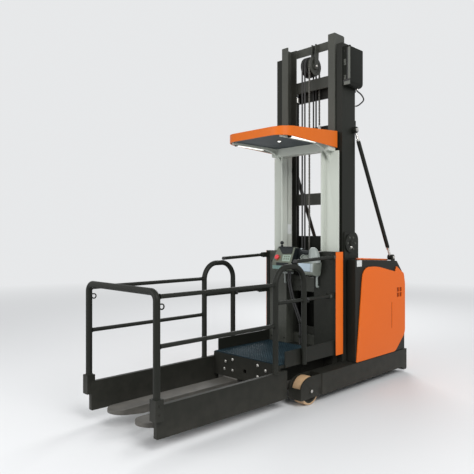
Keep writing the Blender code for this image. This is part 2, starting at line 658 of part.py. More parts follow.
def body(dark, orange, grey):
    """Dark housing with the mast bay, its orange covers and the battery inside."""
    skin = HOUSING_SKIN
    shell = prism(body_outline(HOUSING_FRONT, HOUSING_REAR, HOUSING_BOTTOM, HOUSING_TOP), "y", -HOUSING_HALF, HOUSING_HALF)
    hollow = prism(body_outline(BAY_REAR + skin, HOUSING_REAR - skin, HOUSING_BOTTOM - EMBED, HOUSING_TOP - skin),
                   "y", -HOUSING_HALF + skin, HOUSING_HALF - skin)
    bay = block((HOUSING_FRONT - EMBED, BAY_REAR), (-BAY_HALF, BAY_HALF), (HOUSING_BOTTOM - EMBED, HOUSING_TOP + EMBED))
    eye_z = HOUSING_TOP + STAY_FOOT_RISE
    lug_inner = STAY_FOOT_Y + STAY_EYE_WIDTH / 2 + SEAT
    lugs = []
    for side in SIDES.values():
        outline = [(STAY_FOOT_X - LUG_HALF, HOUSING_TOP - EMBED)]
        outline += arc((STAY_FOOT_X, eye_z), STAY_EYE, 180, 0, 6)
        outline += [(STAY_FOOT_X + LUG_HALF, HOUSING_TOP - EMBED)]
        lugs.append(prism(outline, "y", *span(side, lug_inner, lug_inner + STAY_LUG)))
    node("body_housing", dark, [shell, *lugs], [hollow, bay])

    low, rear = LEG_TOP + COVER_MARGIN, HOUSING_REAR - COVER_REAR_MARGIN
    bend = COVER_CORNER
    cover = rounded([(HOUSING_FRONT + COVER_MARGIN, low, bend / 10), (rear - COVER_REAR_CUT, low, bend),
                     (rear, low + COVER_REAR_RISE, bend),
                     *((rear - back, HOUSING_TOP - drop, turn) for back, drop, turn in COVER_CROWN),
                     (HOUSING_FRONT + COVER_MARGIN + COVER_LEAN, HOUSING_TOP - COVER_FRONT_DROP, COVER_FRONT_ROUND)])
    for label, side in SIDES.items():
        y_range = span(side, HOUSING_HALF + SEAT, HALF_WIDTH)
        through = span(side, HOUSING_HALF, HALF_WIDTH + EMBED)
        holes = [block((SLOT_X, SLOT_X + SLOT_WIDTH), through, (SLOT_LOW, SLOT_HIGH))]
        for row in range(2):
            for column in range(2):
                x, z = VENT_X + column * VENT_PITCH, VENT_Z + row * VENT_PITCH
                holes.append(block((x, x + VENT_HOLE), through, (z, z + VENT_HOLE)))
        node(f"side_cover_{label}", orange, [prism(cover, "y", *y_range)], holes)

    lid_half = STAY_FOOT_Y - STAY_EYE_WIDTH / 2 - 0.010
    lid_front, lid_rear = BAY_REAR + COVER_MARGIN, HOUSING_REAR - REAR_SLOPE - COVER_MARGIN
    lid = rounded([(lid_front, -lid_half, 0.03), (lid_rear, -lid_half, 0.03),
                   (lid_rear, lid_half, 0.03), (lid_front, lid_half, 0.03)])
    node("top_cover", orange, [prism(lid, "z", HOUSING_TOP + SEAT, HOUSING_TOP + TOP_COVER_THICK)])

    door_half = HOUSING_HALF - DOOR_MARGIN
    door_top = HOUSING_TOP - REAR_SLOPE_DROP - DOOR_MARGIN / 3
    door = rounded([(-door_half, LEG_TOP + DOOR_MARGIN, 0.030), (door_half, LEG_TOP + DOOR_MARGIN, 0.030),
                    (door_half, door_top, 0.050), (-door_half, door_top, 0.050)])
    louvres = []
    for row in range(LOUVRES):
        z = door_top - DOOR_MARGIN - (row + 1) * LOUVRE_PITCH
        louvres.append(block((HOUSING_REAR, HALF_LENGTH + EMBED), (-LOUVRE_HALF, LOUVRE_HALF), (z, z + LOUVRE_HEIGHT)))
    node("rear_cover", orange, [prism(door, "x", HOUSING_REAR + SEAT, HALF_LENGTH)], louvres)

    reach = (BAY_REAR + skin + BATTERY_GAP / 2, DRIVE_X - BRIDGE_REACH - BATTERY_CLEARANCE)
    half = HOUSING_HALF - skin - BATTERY_GAP
    node("battery", grey, [block(reach, (-half, half), (LEG_TOP + SEAT, LEG_TOP + BATTERY_HEIGHT))])


def channel(side, front, rear, outer, flange, web, thick, low, high):
    """An upright C-section that opens inwards."""
    inner = outer - flange
    outline = [(front, side * outer), (rear, side * outer), (rear, side * inner), (rear - thick, side * inner),
               (rear - thick, side * (outer - web)), (front + thick, side * (outer - web)),
               (front + thick, side * inner), (front, side * inner)]
    return prism(outline, "z", low, high)


def mast_outer(steel):
    """Fixed mast: two channels, cross members, lift cylinders, foot brackets and stay eyes."""
    low = LEG_TOP + SEAT
    solids = []
    for side in SIDES.values():
        solids.append(channel(side, OUTER_FRONT, OUTER_REAR, OUTER_HALF, OUTER_FLANGE, OUTER_WEB,
                              OUTER_THICK, low, OUTER_TOP))
    crosses = ((low + EMBED, FOOT_CROSS), (MIDDLE_CROSS_Z, MIDDLE_CROSS), (UPPER_CROSS_Z, UPPER_CROSS),
               (OUTER_TOP - TOP_CROSS_DROP - TOP_CROSS, TOP_CROSS))
    for bottom, height in crosses:
        solids.append(block((OUTER_REAR - EMBED, OUTER_REAR - EMBED + CROSS_DEPTH),
                            (-OUTER_HALF + EMBED, OUTER_HALF - EMBED), (bottom, bottom + height)))
    cuts = []
    foot_low = HOUSING_TOP + SEAT
    foot = rounded([(FOOT_FRONT, foot_low, 0), (FOOT_REAR, foot_low, 0), (FOOT_REAR, FOOT_TOP, FOOT_ROUND),
                    (FOOT_FRONT, FOOT_TOP, FOOT_ROUND / 4)], 6)
    disc_at = (FOOT_DISC_X, FOOT_TOP - FOOT_DISC_DROP)
    for side in SIDES.values():
        at = (CYLINDER_X, side * CYLINDER_Y)
        solids.append(cylinder("z", at, BARREL_RADIUS, low, BARREL_TOP, 16))
        clamp = span(side, CYLINDER_Y - CLAMP_HALF, CYLINDER_Y + CLAMP_HALF)
        for bottom, height in crosses[1:3]:
            solids.append(block((CYLINDER_X, OUTER_REAR), clamp,
                                (bottom + CLAMP_MARGIN, bottom + height - CLAMP_MARGIN)))
        cuts.append(cylinder("z", at, BARREL_BORE, ROD_BOTTOM - 0.03, BARREL_TOP + EMBED, 16))
        solids.append(prism(foot, "y", *span(side, OUTER_HALF - EMBED, OUTER_HALF + FOOT_PLATE)))
        solids.append(cylinder("y", disc_at, FOOT_DISC, *span(side, OUTER_HALF, OUTER_HALF + FOOT_PLATE + FOOT_DISC_THICK)))
    node("mast_outer", steel, solids, cuts)


def mast_inner(steel):
    """Sliding mast: two channels, cross members, sheave cheeks and the two piston rods."""
    low = LEG_TOP + INNER_LIFT
    solids = []
    for side in SIDES.values():
        solids.append(channel(side, INNER_FRONT, INNER_REAR, INNER_HALF, INNER_FLANGE, INNER_WEB,
                              INNER_THICK, low, INNER_TOP))
    upper_z, head_z = INNER_TOP - INNER_UPPER_DROP, INNER_TOP - INNER_HEAD_DROP
    for bottom, height in ((INNER_FOOT_Z, INNER_CROSS), (INNER_MIDDLE_Z, INNER_CROSS),
                           (upper_z, INNER_UPPER), (head_z, INNER_HEAD)):
        solids.append(block((INNER_REAR - EMBED, INNER_REAR - EMBED + INNER_CROSS_DEPTH),
                            (-INNER_HALF + EMBED, INNER_HALF - EMBED), (bottom, bottom + height)))
    middle = (OUTER_FRONT + OUTER_REAR) / 2
    roller = (OUTER_REAR - OUTER_FRONT) / 2 - OUTER_THICK - RUN_GAP
    reach = OUTER_HALF - OUTER_WEB - GUIDE_SIDE_GAP
    for side in SIDES.values():
        for z in GUIDE_ROWS:
            solids.append(cylinder("y", (middle, z), roller, *span(side, INNER_HALF - EMBED, reach), 20))
    boss = 2.5 * SHEAVE_PIN
    cheek_top = head_z + INNER_HEAD - EMBED
    cheek = [(SHEAVE_X - boss, SHEAVE_Z - boss), (SHEAVE_X + boss, SHEAVE_Z - boss),
             (INNER_REAR + INNER_CROSS_DEPTH - 2 * EMBED, cheek_top), (SHEAVE_X - boss / 2, cheek_top),
             (SHEAVE_X - boss, SHEAVE_Z + boss)]
    cheek_inner = SHEAVE_WIDTH / 2 + EMBED
    for side in SIDES.values():
        solids.append(prism(cheek, "y", *span(side, cheek_inner, cheek_inner + 0.008)))
        at = (CYLINDER_X, side * CYLINDER_Y)
        shoe = (upper_z + INNER_UPPER / 4, upper_z + 3 * INNER_UPPER / 4)
        solids.append(cylinder("z", at, ROD_RADIUS, ROD_BOTTOM, sum(shoe) / 2, 12))
        solids.append(block((INNER_REAR, CYLINDER_X + ROD_RADIUS),
                            span(side, CYLINDER_Y - BARREL_RADIUS, CYLINDER_Y + BARREL_RADIUS), shoe))
    pin = cheek_inner + SHEAVE_PIN / 2
    solids.append(cylinder("y", (SHEAVE_X, SHEAVE_Z), SHEAVE_PIN, -pin, pin, 12))
    node("mast_inner", steel, solids)


def sheave_and_chains(steel, chain):
    """Chain sheave in its cheeks, with the front and rear runs of the lift chain."""
    half = SHEAVE_WIDTH / 2
    root = CHAIN_PITCH_RADIUS - CHAIN_THICK / 2 - SEAT
    bore, groove = SHEAVE_PIN + BORE_GAP, CHAIN_WIDTH / 2 + BORE_GAP
    profile = [(-half, bore), (-half, SHEAVE_RADIUS), (-groove, SHEAVE_RADIUS), (-groove, root),
               (groove, root), (groove, SHEAVE_RADIUS), (half, SHEAVE_RADIUS), (half, bore)]
    pivot(node("mast_sheave", steel, [turned(profile, SHEAVE_X, SHEAVE_Z, 32)]), (SHEAVE_X, 0, SHEAVE_Z))
    for name, x, foot in (("chain_front", SHEAVE_CHAIN_X, CARRIAGE_TOP),
                          ("chain_rear", SHEAVE_X + CHAIN_PITCH_RADIUS, ANCHOR_Z)):
        low = foot + SEAT
        links = round((SHEAVE_Z - low) / CHAIN_PITCH)
        pitch = (SHEAVE_Z - low) / links
        edge = []
        for link in range(links):
            edge += [(CHAIN_WAIST / 2, low + link * pitch), (CHAIN_THICK / 2, low + (link + 0.3) * pitch),
                     (CHAIN_THICK / 2, low + (link + 0.7) * pitch)]
        edge.append((CHAIN_WAIST / 2, SHEAVE_Z))
        outline = [(x + out, z) for out, z in edge] + [(x - out, z) for out, z in reversed(edge)]
        node(name, chain, [prism(outline, "y", -CHAIN_WIDTH / 2, CHAIN_WIDTH / 2)])


def stays(steel):
    """Tube stays from the mast's sides to the lugs on the body, with an eye at both ends."""
    top_y = OUTER_HALF + SEAT + STAY_EYE_WIDTH / 2
    foot_z = HOUSING_TOP + STAY_FOOT_RISE
    for label, side in SIDES.items():
        top = (STAY_TOP_X, side * top_y, STAY_TOP_Z)
        foot = (STAY_FOOT_X, side * STAY_FOOT_Y, foot_z)
        solids = [tube([top, foot], STAY_RADIUS, 3)]
        for x, y, z in (top, foot):
            half = STAY_EYE_WIDTH / 2
            solids.append(cylinder("y", (x, z), STAY_EYE, y - half, y + half, 16))
        node(f"mast_stay_{label}", steel, solids)


def smooth(points, steps=6):
    """Points on a smooth curve through the given ones, each stretch bent by its neighbours."""
    rows = [Vector(p) for p in points]
    rows = [2 * rows[0] - rows[1], *rows, 2 * rows[-1] - rows[-2]]
    path = []
    for a, b, c, d in zip(rows, rows[1:], rows[2:], rows[3:]):
        for step in range(steps):
            t = step / steps
            path.append(0.5 * (2 * b + (c - a) * t + (2 * a - 5 * b + 4 * c - d) * t ** 2
                               + (3 * b - 3 * c + d - a) * t ** 3))
    return path + [rows[-2]]


def mast_side_box(steel, rubber):
    """Covered box with a front lip on the right side of the mast top, and the hose that loops from it."""
    inner = OUTER_HALF + SEAT
    outer = inner + BOX_DEPTH
    lip = BOX_LIP

    def section(inset):
        return rounded([(-inner, BOX_BOTTOM + inset, 0), (-outer + inset, BOX_BOTTOM + inset, BOX_ROUND - inset),
                        (-outer + inset, BOX_TOP - inset, 0.01), (-inner, BOX_TOP - inset, 0)])
    solids = [prism(section(0), "x", BOX_FRONT, BOX_FRONT + lip),
              prism(section(lip / 2), "x", BOX_FRONT + lip - EMBED, BOX_REAR)]
    node("mast_side_box", steel, solids)

    rear, low = OUTER_REAR + SEAT, BOX_BOTTOM + lip / 2 - SEAT
    start_y, end_y = -inner - BOX_DEPTH / 3, -OUTER_HALF + OUTER_FLANGE / 4
    bulge, drop = HOSE_BULGE, HOSE_DROP
    start_x = BOX_REAR - 3 * HOSE_RADIUS
    route = [(start_x, start_y, low), (start_x, start_y, low - drop / 12), (start_x, start_y, low - drop / 7),
             (rear + bulge * 0.6, start_y * 0.97, low - drop * 0.25), (rear + bulge, start_y * 0.94, low - drop * 0.5),
             (rear + bulge * 0.65, end_y, low - drop * 0.85), (rear + bulge * 0.25, end_y, low - drop),
             (rear + bulge * 0.1, end_y, low - drop), (rear, end_y, low - drop)]
    node("mast_hose", rubber, [tube(smooth(route), HOSE_RADIUS)])


def deck(dark, rubber):
    """Platform deck with its apron, toe boards and beams, and the mat that lies on it."""
    plate_low = DECK_TOP - DECK_THICK
    skirt_inner = RAIL_Y - SKIRT_THICK - SEAT
    wide_from = SKIRT_REAR + MAT_MARGIN
    rear_half = COLUMN_INNER - SEAT
    solids = [block((APRON_X, wide_from + EMBED), (-skirt_inner, skirt_inner), (plate_low, DECK_TOP))]
    solids.append(block((COLUMN_FRONT - EMBED, DECK_REAR), (-rear_half, rear_half), (plate_low, DECK_TOP)))
    solids.append(block((wide_from, COLUMN_FRONT - SEAT), (-DECK_HALF, DECK_HALF), (plate_low, DECK_TOP)))
    solids.append(block((APRON_X, APRON_X + APRON_THICK), (-skirt_inner, skirt_inner), (APRON_BOTTOM, DECK_TOP - EMBED)))
    beam_half = rear_half - REAR_BEAM_INSET
    solids.append(block((DECK_REAR - REAR_BEAM_LENGTH, DECK_REAR), (-beam_half, beam_half),
                        (APRON_BOTTOM, plate_low + EMBED)))
    for side in SIDES.values():
        solids.append(block((wide_from, COLUMN_FRONT - SEAT), span(side, DECK_HALF - TOE_BOARD_THICK, DECK_HALF),
                            (DECK_TOP - EMBED, DECK_TOP + TOE_BOARD_HEIGHT)))
        solids.append(block((APRON_X + APRON_THICK / 2, DECK_REAR - EMBED),
                            span(side, FORK_Y - BEAM_WIDTH / 2, FORK_Y + BEAM_WIDTH / 2),
                            (APRON_BOTTOM, plate_low + EMBED)))
    hole = cylinder("x", (0, APRON_BOTTOM + APRON_HOLE_RISE), APRON_HOLE, APRON_X - EMBED,
                    APRON_X + APRON_THICK + EMBED, 16)
    node("platform_deck", dark, solids, [hole])
    mat_half = DECK_HALF - TOE_BOARD_THICK - SEAT
    front_half = skirt_inner - MAT_MARGIN
    outline = [(APRON_X + MAT_MARGIN, -front_half), (wide_from, -front_half), (wide_from, -mat_half),
               (COLUMN_FRONT - SEAT, -mat_half), (COLUMN_FRONT - SEAT, mat_half), (wide_from, mat_half),
               (wide_from, front_half), (APRON_X + MAT_MARGIN, front_half)]
    node("floor_mat", rubber, [prism(outline, "z", DECK_TOP + SEAT, MAT_TOP)])


def forks(dark):
    """Two box-section fork blades, tapered and rounded at their tips."""
    low = FORK_TOP - FORK_THICK
    profile = [(FORK_ROOT_X, low), (FORK_TIP_X + FORK_TAPER, low), (FORK_TIP_X, FORK_TOP - FORK_TIP_THICK),
               (FORK_TIP_X, FORK_TOP - FORK_TIP_SLOPE / 3), (FORK_TIP_X + FORK_TIP_SLOPE, FORK_TOP),
               (APRON_X - HEEL_LAP, FORK_TOP),
               (APRON_X - HEEL_LAP, HEEL_TOP), (FORK_ROOT_X, HEEL_TOP)]
    for label, side in SIDES.items():
        plan = [(FORK_ROOT_X, side * FORK_Y - FORK_WIDTH / 2)]
        plan += arc((FORK_TIP_X + FORK_WIDTH / 2, side * FORK_Y), FORK_WIDTH / 2, 270, 90, 10)
        plan += [(FORK_ROOT_X, side * FORK_Y + FORK_WIDTH / 2)]
        blade = prism(profile, "y", *span(side, FORK_Y - FORK_WIDTH / 2 - EMBED, FORK_Y + FORK_WIDTH / 2 + EMBED))
        node(f"fork_{label}", dark, [blade], kept=[prism(plan, "z", low - EMBED, HEEL_TOP + EMBED)])


def rails(dark):
    """Skirts with post sockets, the front frame, the straight rails and the hoops."""
    for label, side in SIDES.items():
        outline = rounded([(POST_X, SKIRT_BOTTOM, SKIRT_FALL), (SKIRT_REAR, SKIRT_BOTTOM - SKIRT_FALL, SKIRT_FALL),
                           (SKIRT_REAR, SKIRT_TOP, 0), (POST_X, SKIRT_TOP, 0)])
        solids = [prism(outline, "y", *span(side, RAIL_Y - SKIRT_THICK, RAIL_Y))]
        solids.append(block((-HALF_LENGTH, -HALF_LENGTH + 2 * SOCKET_HALF),
                            span(side, RAIL_Y - SOCKET_HALF, RAIL_Y + SOCKET_HALF), (SOCKET_BOTTOM, SOCKET_TOP)))
        node(f"skirt_{label}", dark, solids)

        at = side * RAIL_Y
        stop = HOOP_FRONT_X - HOOP_RADIUS - SEAT
        for name, z in (("top_rail", TOP_RAIL_Z), ("mid_rail", MID_RAIL_Z)):
            start = POST_X + POST_RADIUS + SEAT
            node(f"{name}_{label}", dark, [tube([(start, at, z), (stop, at, z)], RAIL_RADIUS)])

        hoop = bent([(HOOP_FRONT_X, at, SKIRT_TOP + SEAT), (HOOP_FRONT_X, at, HOOP_TOP),
                     (HOOP_REAR_X, at, HOOP_TOP), (HOOP_REAR_X, at, DECK_TOP - DECK_THICK)], HOOP_BEND, 6)
        bar = tube([(HOOP_FRONT_X, at, HOOP_BAR_Z), (HOOP_REAR_X, at, HOOP_BAR_Z)], RAIL_RADIUS)
        rest_z = HOOP_BAR_Z - GATE_RADIUS - SEAT
        rest = block((HOOP_REAR_X, HOOP_REAR_X + HOOP_RADIUS + REST_REACH),
                     span(side, RAIL_Y - REST_HALF, RAIL_Y + REST_HALF), (rest_z - REST_THICK, rest_z))
        node(f"hoop_{label}", dark, [tube(hoop, HOOP_RADIUS), bar, rest])

    foot = SOCKET_TOP + SEAT
    frame = bent([(POST_X, RAIL_Y, foot), (POST_X, RAIL_Y, END_BAR_Z), (POST_X, -RAIL_Y, END_BAR_Z),
                  (POST_X, -RAIL_Y, foot)], POST_BEND, 5)
    hooks = []
    for side in SIDES.values():
        centre = (POST_X + POST_RADIUS + HOOK_RADIUS, HOOK_Z)
        route = [(POST_X, side * RAIL_Y, HOOK_Z + HOOK_RADIUS)]
        route += [(x, side * RAIL_Y, z) for x, z in arc(centre, HOOK_RADIUS, 90, -150, 8)]
        hooks.append(tube(route, HOOK_BAR, 1))
    node("front_frame", dark, [tube(frame, POST_RADIUS), *hooks])


def gates(dark):
    """Swing-up gate bars at both entries, each on an eye at its rear end."""
    for label, side in SIDES.items():
        at = side * RAIL_Y
        rows = (("gate_top", GATE_TOP_FRONT, GATE_TOP_PIVOT_X, GATE_TOP_Z),
                ("gate_mid", HOOP_REAR_X + HOOP_RADIUS + GATE_MID_GAP, GATE_MID_PIVOT_X, HOOP_BAR_Z))
        for name, front, pivot_x, z in rows:
            half = GATE_EYE_WIDTH / 2
            bar = tube([(front, at, z), (pivot_x - GATE_PIN - 0.008, at, z)], GATE_RADIUS)
            eye = cylinder("y", (pivot_x, z), GATE_EYE, at - half, at + half, 16)
            bore = cylinder("y", (pivot_x, z), GATE_PIN + BORE_GAP, at - 2 * half, at + 2 * half, 12)
            pivot(node(f"{name}_{label}", dark, [eye, bar], [bore]), (pivot_x, at, z))


def compartment(dark, orange):
    """Pressed bulkheads, open behind, and the columns beside them with their orange outer covers."""
    wall = BULKHEAD_WALL
    for label, side in SIDES.items():

        def face(inset):
            outer, inner = COLUMN_INNER - SEAT - inset, BULKHEAD_INNER + inset
            post, shoulder = PILLAR_INNER - POST_LAP + inset, BULKHEAD_SHOULDER - inset
            bottom, top = DECK_TOP + SEAT + inset, COLUMN_TOP - inset
            return rounded([(side * inner, bottom, 0), (side * outer, bottom, 0), (side * outer, top, 0),
                            (side * post, top, 0.01), (side * post, shoulder, 0.02),
                            (side * inner, shoulder, BULKHEAD_ROUND - inset)])
        node(f"bulkhead_{label}", dark, [prism(face(0), "x", BULKHEAD_FRONT, DECK_REAR)],
             [prism(face(wall), "x", BULKHEAD_FRONT + wall, DECK_REAR + EMBED)])

        solids = [block((COLUMN_FRONT, COLUMN_REAR), span(side, COLUMN_INNER, COLUMN_OUTER),
                        (COLUMN_BOTTOM, COLUMN_TOP))]
        plate = span(side, GATE_PLATE_OUTER - GATE_PLATE_THICK, GATE_PLATE_OUTER)
        for x, z in ((GATE_TOP_PIVOT_X, GATE_TOP_Z), (GATE_MID_PIVOT_X, HOOP_BAR_Z)):
            solids.append(block((x - GATE_PLATE_HALF, COLUMN_FRONT + EMBED), plate,
                                (z - GATE_PLATE_HALF, z + GATE_PLATE_HALF)))
            solids.append(cylinder("y", (x, z), GATE_PIN,
                                   *span(side, GATE_PLATE_OUTER - EMBED, RAIL_Y + GATE_EYE_WIDTH / 2), 12))
        node(f"column_{label}", dark, solids)
        cover = span(side, COLUMN_OUTER + SEAT, COLUMN_OUTER + SEAT + COLUMN_COVER)
        node(f"column_cover_{label}", orange, [block((COLUMN_FRONT, COLUMN_REAR), cover, (COLUMN_BOTTOM, COLUMN_TOP))])


def overhead_guard(pale, orange, dark):
    """Pale pillars and header, the orange roof shell and its dark lining."""
    solids = []
    header_top = LINING_Z - SEAT
    gusset = [(PILLAR_FRONT + EMBED, HEADER_BOTTOM - GUSSET_DROP)]
    for step in range(9):
        turn = math.pi / 2 * step / 8
        gusset.append((PILLAR_FRONT - GUSSET_REACH * (1 - math.cos(turn)),
                       header_top - ARM_THICK - (HEADER_BOTTOM - GUSSET_DROP - header_top + ARM_THICK)
                       * (math.sin(turn) - 1)))
    gusset += [(ROOF_FRONT + ROOF_WALL + ARM_FRONT_GAP, header_top - ARM_THICK),
               (ROOF_FRONT + ROOF_WALL + ARM_FRONT_GAP, header_top), (PILLAR_FRONT + EMBED, header_top)]
    for side in SIDES.values():
        inner, outer, wall = PILLAR_INNER, PILLAR_OUTER, PILLAR_WALL
        foot = COLUMN_TOP + SEAT
        upright = (foot, HEADER_BOTTOM + EMBED)
        solids.append(block((PILLAR_FRONT, PILLAR_FRONT + wall), span(side, inner, outer), upright))
        solids.append(block((DECK_REAR - PILLAR_FLANGE, DECK_REAR), span(side, inner, inner + wall), upright))
        solids.append(prism(gusset, "y", *span(side, ARM_Y - ARM_HALF, ARM_Y + ARM_HALF)))
    half = ROOF_HALF - ROOF_WALL - EMBED
    header_rear = ROOF_REAR - ROOF_WALL - EMBED
    solids.append(block((header_rear - HEADER_DEPTH, header_rear), (-half, half), (HEADER_BOTTOM, header_top)))
    node("guard_frame", pale, solids)

    def shell_point(x, front, rear):
        return front + (rear - front) * (x - ROOF_FRONT) / (ROOF_REAR - ROOF_FRONT)

    def ring(inset):
        low, high, half = ROOF_FRONT + inset, ROOF_REAR - inset, ROOF_HALF - inset
        corner = ROOF_CORNER - inset
        return rounded([(high, -half, ROOF_REAR_CORNER), (high, half, ROOF_REAR_CORNER),
                        (low, half, corner), (low, -half, corner)], 8)

    bm = bmesh.new()
    outer, inner = ring(0.0), ring(ROOF_WALL)
    loops = []
    for outline, heights, drop in ((outer, (ROOF_TOP_FRONT, ROOF_TOP_REAR), 0.0),
                                   (outer, (ROOF_EDGE_FRONT, ROOF_EDGE_REAR), 0.0),
                                   (inner, (ROOF_EDGE_FRONT, ROOF_EDGE_REAR), 0.0),
                                   (inner, (ROOF_TOP_FRONT, ROOF_TOP_REAR), ROOF_WALL)):
        loops.append([bm.verts.new((x, y, shell_point(x, *heights) - drop)) for x, y in outline])
    bm.faces.new(loops[0])
    bm.faces.new(loops[3])
    for upper, lower in zip(loops, loops[1:]):
        for i in range(len(upper)):
            j = (i + 1) % len(upper)
            bm.faces.new((upper[i], upper[j], lower[j], lower[i]))
    node("roof_cover", orange, [scratch(bm)])

    inset = ROOF_WALL + SEAT
    node("roof_lining", dark, [prism(ring(inset), "z", LINING_Z, LINING_Z + LINING_THICK)])


def carriage(steel):
    """Roller carriage that carries the platform on the inner mast, with the chain's anchor."""
    front = DECK_REAR + SEAT
    plate = CARRIAGE_PLATE
    solids = []
    for low, high in ((CARRIAGE_BOTTOM, CARRIAGE_BOTTOM + CARRIAGE_CROSS), (CARRIAGE_TOP - CARRIAGE_CROSS, CARRIAGE_TOP)):
        solids.append(block((front, front + plate), (-CARRIAGE_HALF + EMBED, CARRIAGE_HALF - EMBED), (low, high)))
    middle = (INNER_FRONT + INNER_REAR) / 2
    roller = (INNER_REAR - INNER_FRONT) / 2 - INNER_THICK - RUN_GAP
    for side in SIDES.values():
        solids.append(block((front + EMBED, CARRIAGE_REAR), span(side, CARRIAGE_HALF - plate, CARRIAGE_HALF),
                            (CARRIAGE_BOTTOM, CARRIAGE_TOP)))
        for z in (CARRIAGE_BOTTOM + ROLLER_INSET, CARRIAGE_TOP - ROLLER_INSET):
            reach = INNER_HALF - INNER_WEB - GUIDE_SIDE_GAP
            solids.append(cylinder("y", (middle, z), roller, *span(side, CARRIAGE_HALF - EMBED, reach), 20))
    slot_front = SHEAVE_CHAIN_X - CHAIN_THICK / 2 - ANCHOR_GAP
    anchor_rear = SHEAVE_CHAIN_X + CHAIN_THICK / 2 + ANCHOR_GAP
    solids.append(block((front + EMBED, anchor_rear), (-ANCHOR_HALF, ANCHOR_HALF), (CARRIAGE_TOP - ANCHOR_HEIGHT, CARRIAGE_TOP - EMBED)))
    slot = block((slot_front, anchor_rear + EMBED), (-CHAIN_WIDTH / 2 - ANCHOR_GAP, CHAIN_WIDTH / 2 + ANCHOR_GAP),
                 (CARRIAGE_TOP - 2 * ANCHOR_HEIGHT, CARRIAGE_TOP + EMBED))
    node("carriage", steel, solids, [slot])


def consoles(grey, pale, rubber):
    """Consoles on the bulkheads, a sloping panel and a hooded display, and the hoses down to the deck."""
    back = BULKHEAD_FRONT - SEAT
    front, bend = back - CONSOLE_DEPTH, CONSOLE_ROUND
    panel = rounded([(back, CONSOLE_BOTTOM, 0), (back, CONSOLE_TOP, bend / 2),
                     (back - CONSOLE_FLAT, CONSOLE_TOP, bend), (front, CONSOLE_EDGE, bend),
                     (front + bend, CONSOLE_BOTTOM, bend)])
    inner, outer = CONSOLE_INNER, COLUMN_INNER - CONSOLE_SIDE_GAP
    slope = Vector((back - CONSOLE_FLAT - front, 0, CONSOLE_TOP - CONSOLE_EDGE))
    button_foot = Vector((front, CONTROL_Y, CONSOLE_EDGE)) + slope * 0.3
    normal = Vector((-slope.z, 0, slope.x)).normalized()
    knob_foot = Vector((back - CONSOLE_FLAT / 2, KNOB_Y, CONSOLE_TOP))
    up = Vector((0, 0, 1))
    node("console_left", grey, [
        prism(panel, "y", inner, outer),
        tube([button_foot - normal * EMBED, button_foot + normal * BUTTON_HEIGHT], BUTTON_RADIUS),
        tube([knob_foot - up * EMBED, knob_foot + up * STALK_HEIGHT], STALK_RADIUS, 1),
        tube([knob_foot + up * (STALK_HEIGHT - EMBED), knob_foot + up * (STALK_HEIGHT + KNOB_RADIUS)], KNOB_RADIUS)])

    foot = DECK_TOP + SEAT
    high = CONSOLE_BOTTOM - SEAT
    drop = high - foot
    down_x, foot_x = back - 3 * LOOM_RADIUS, back + 4 * LOOM_RADIUS
    solids = []
    for along in (-1, 1):
        y = LOOM_Y + along * LOOM_SPACING / 2
        route = [(down_x, y, high), (down_x, y, high - drop / 16), (down_x, y, high - drop / 8),
                 (back, y - LOOM_SAG * 0.35, high - drop * 0.4), (foot_x, y - LOOM_SAG, high - drop * 0.7),
                 (foot_x, y - LOOM_SAG, foot + drop / 8), (foot_x, y - LOOM_SAG, foot + drop / 16),
                 (foot_x, y - LOOM_SAG, foot)]
        solids.append(tube(smooth(route), LOOM_RADIUS, 1))
    clip_y = LOOM_Y - LOOM_SAG
    for z in (foot + drop / 10, high - drop * 0.7):
        solids.append(block((foot_x - CLIP_HALF, foot_x + CLIP_HALF),
                            (clip_y - LOOM_SPACING, clip_y + LOOM_SPACING), (z, z + 2 * CLIP_HALF)))
    node("console_loom", rubber, solids)

    box = rounded([(back, CONSOLE_BOTTOM, 0), (back, DISPLAY_TOP, 0), (front, DISPLAY_TOP, bend),
                   (front, CONSOLE_BOTTOM, 2 * bend)])
    hood = rounded([(back, DISPLAY_TOP - EMBED, 0), (back, CONSOLE_TOP, bend),
                    (front + HOOD_SETBACK, CONSOLE_TOP, 2 * bend), (front + HOOD_SETBACK, DISPLAY_TOP - EMBED, 0)], 6)
    node("console_right", pale, [prism(box, "y", -outer, -inner),
                                 prism(hood, "y", -outer + HOOD_INSET, -inner - HOOD_INSET)])


def build():
    """Clears the scene and makes every node."""
    for old in list(bpy.data.objects):
        bpy.data.objects.remove(old)
    dark = material("charcoal_paint", (0.035, 0.036, 0.032), 0.45)
    orange = material("orange_paint", (0.80, 0.16, 0.02), 0.35)
    pale = material("pale_paint", (0.55, 0.58, 0.53), 0.45)
    grey = material("grey_moulding", (0.20, 0.24, 0.23), 0.5)
    rubber = material("blue_grey_mat", (0.05, 0.08, 0.11), 0.7)
    tan = material("tan_tyre", (0.72, 0.47, 0.25), 0.5)
    black = material("black_tyre", (0.02, 0.02, 0.02), 0.7)
    steel = material("chain_steel", (0.12, 0.12, 0.12), 0.4, 0.9)

    chassis_frame(dark)
    for label, side in SIDES.items():
        wheel(f"load_wheel_{label}", tan, LOAD_AXIS, LOAD_WHEEL_INNER, LOAD_WHEEL_OUTER, LOAD_WHEEL_RADIUS,
              LOAD_TYRE, AXLE_RADIUS + BORE_GAP, side)
    drive_yoke(dark)
    wheel("drive_wheel", black, (DRIVE_X, DRIVE_RADIUS), -DRIVE_WIDTH / 2, DRIVE_WIDTH / 2, DRIVE_RADIUS,
          DRIVE_TYRE, AXLE_RADIUS + BORE_GAP)
    body(dark, orange, grey)
    mast_outer(dark)
    mast_inner(dark)
    sheave_and_chains(dark, steel)
    stays(dark)
    mast_side_box(dark, black)
    deck(dark, rubber)
    forks(dark)
    rails(dark)
    gates(dark)
    compartment(dark, orange)
    overhead_guard(pale, orange, dark)
    carriage(dark)
    consoles(grey, pale, black)


build()
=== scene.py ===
"""Looks of an electric man-up order picker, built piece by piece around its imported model."""

import json
import math

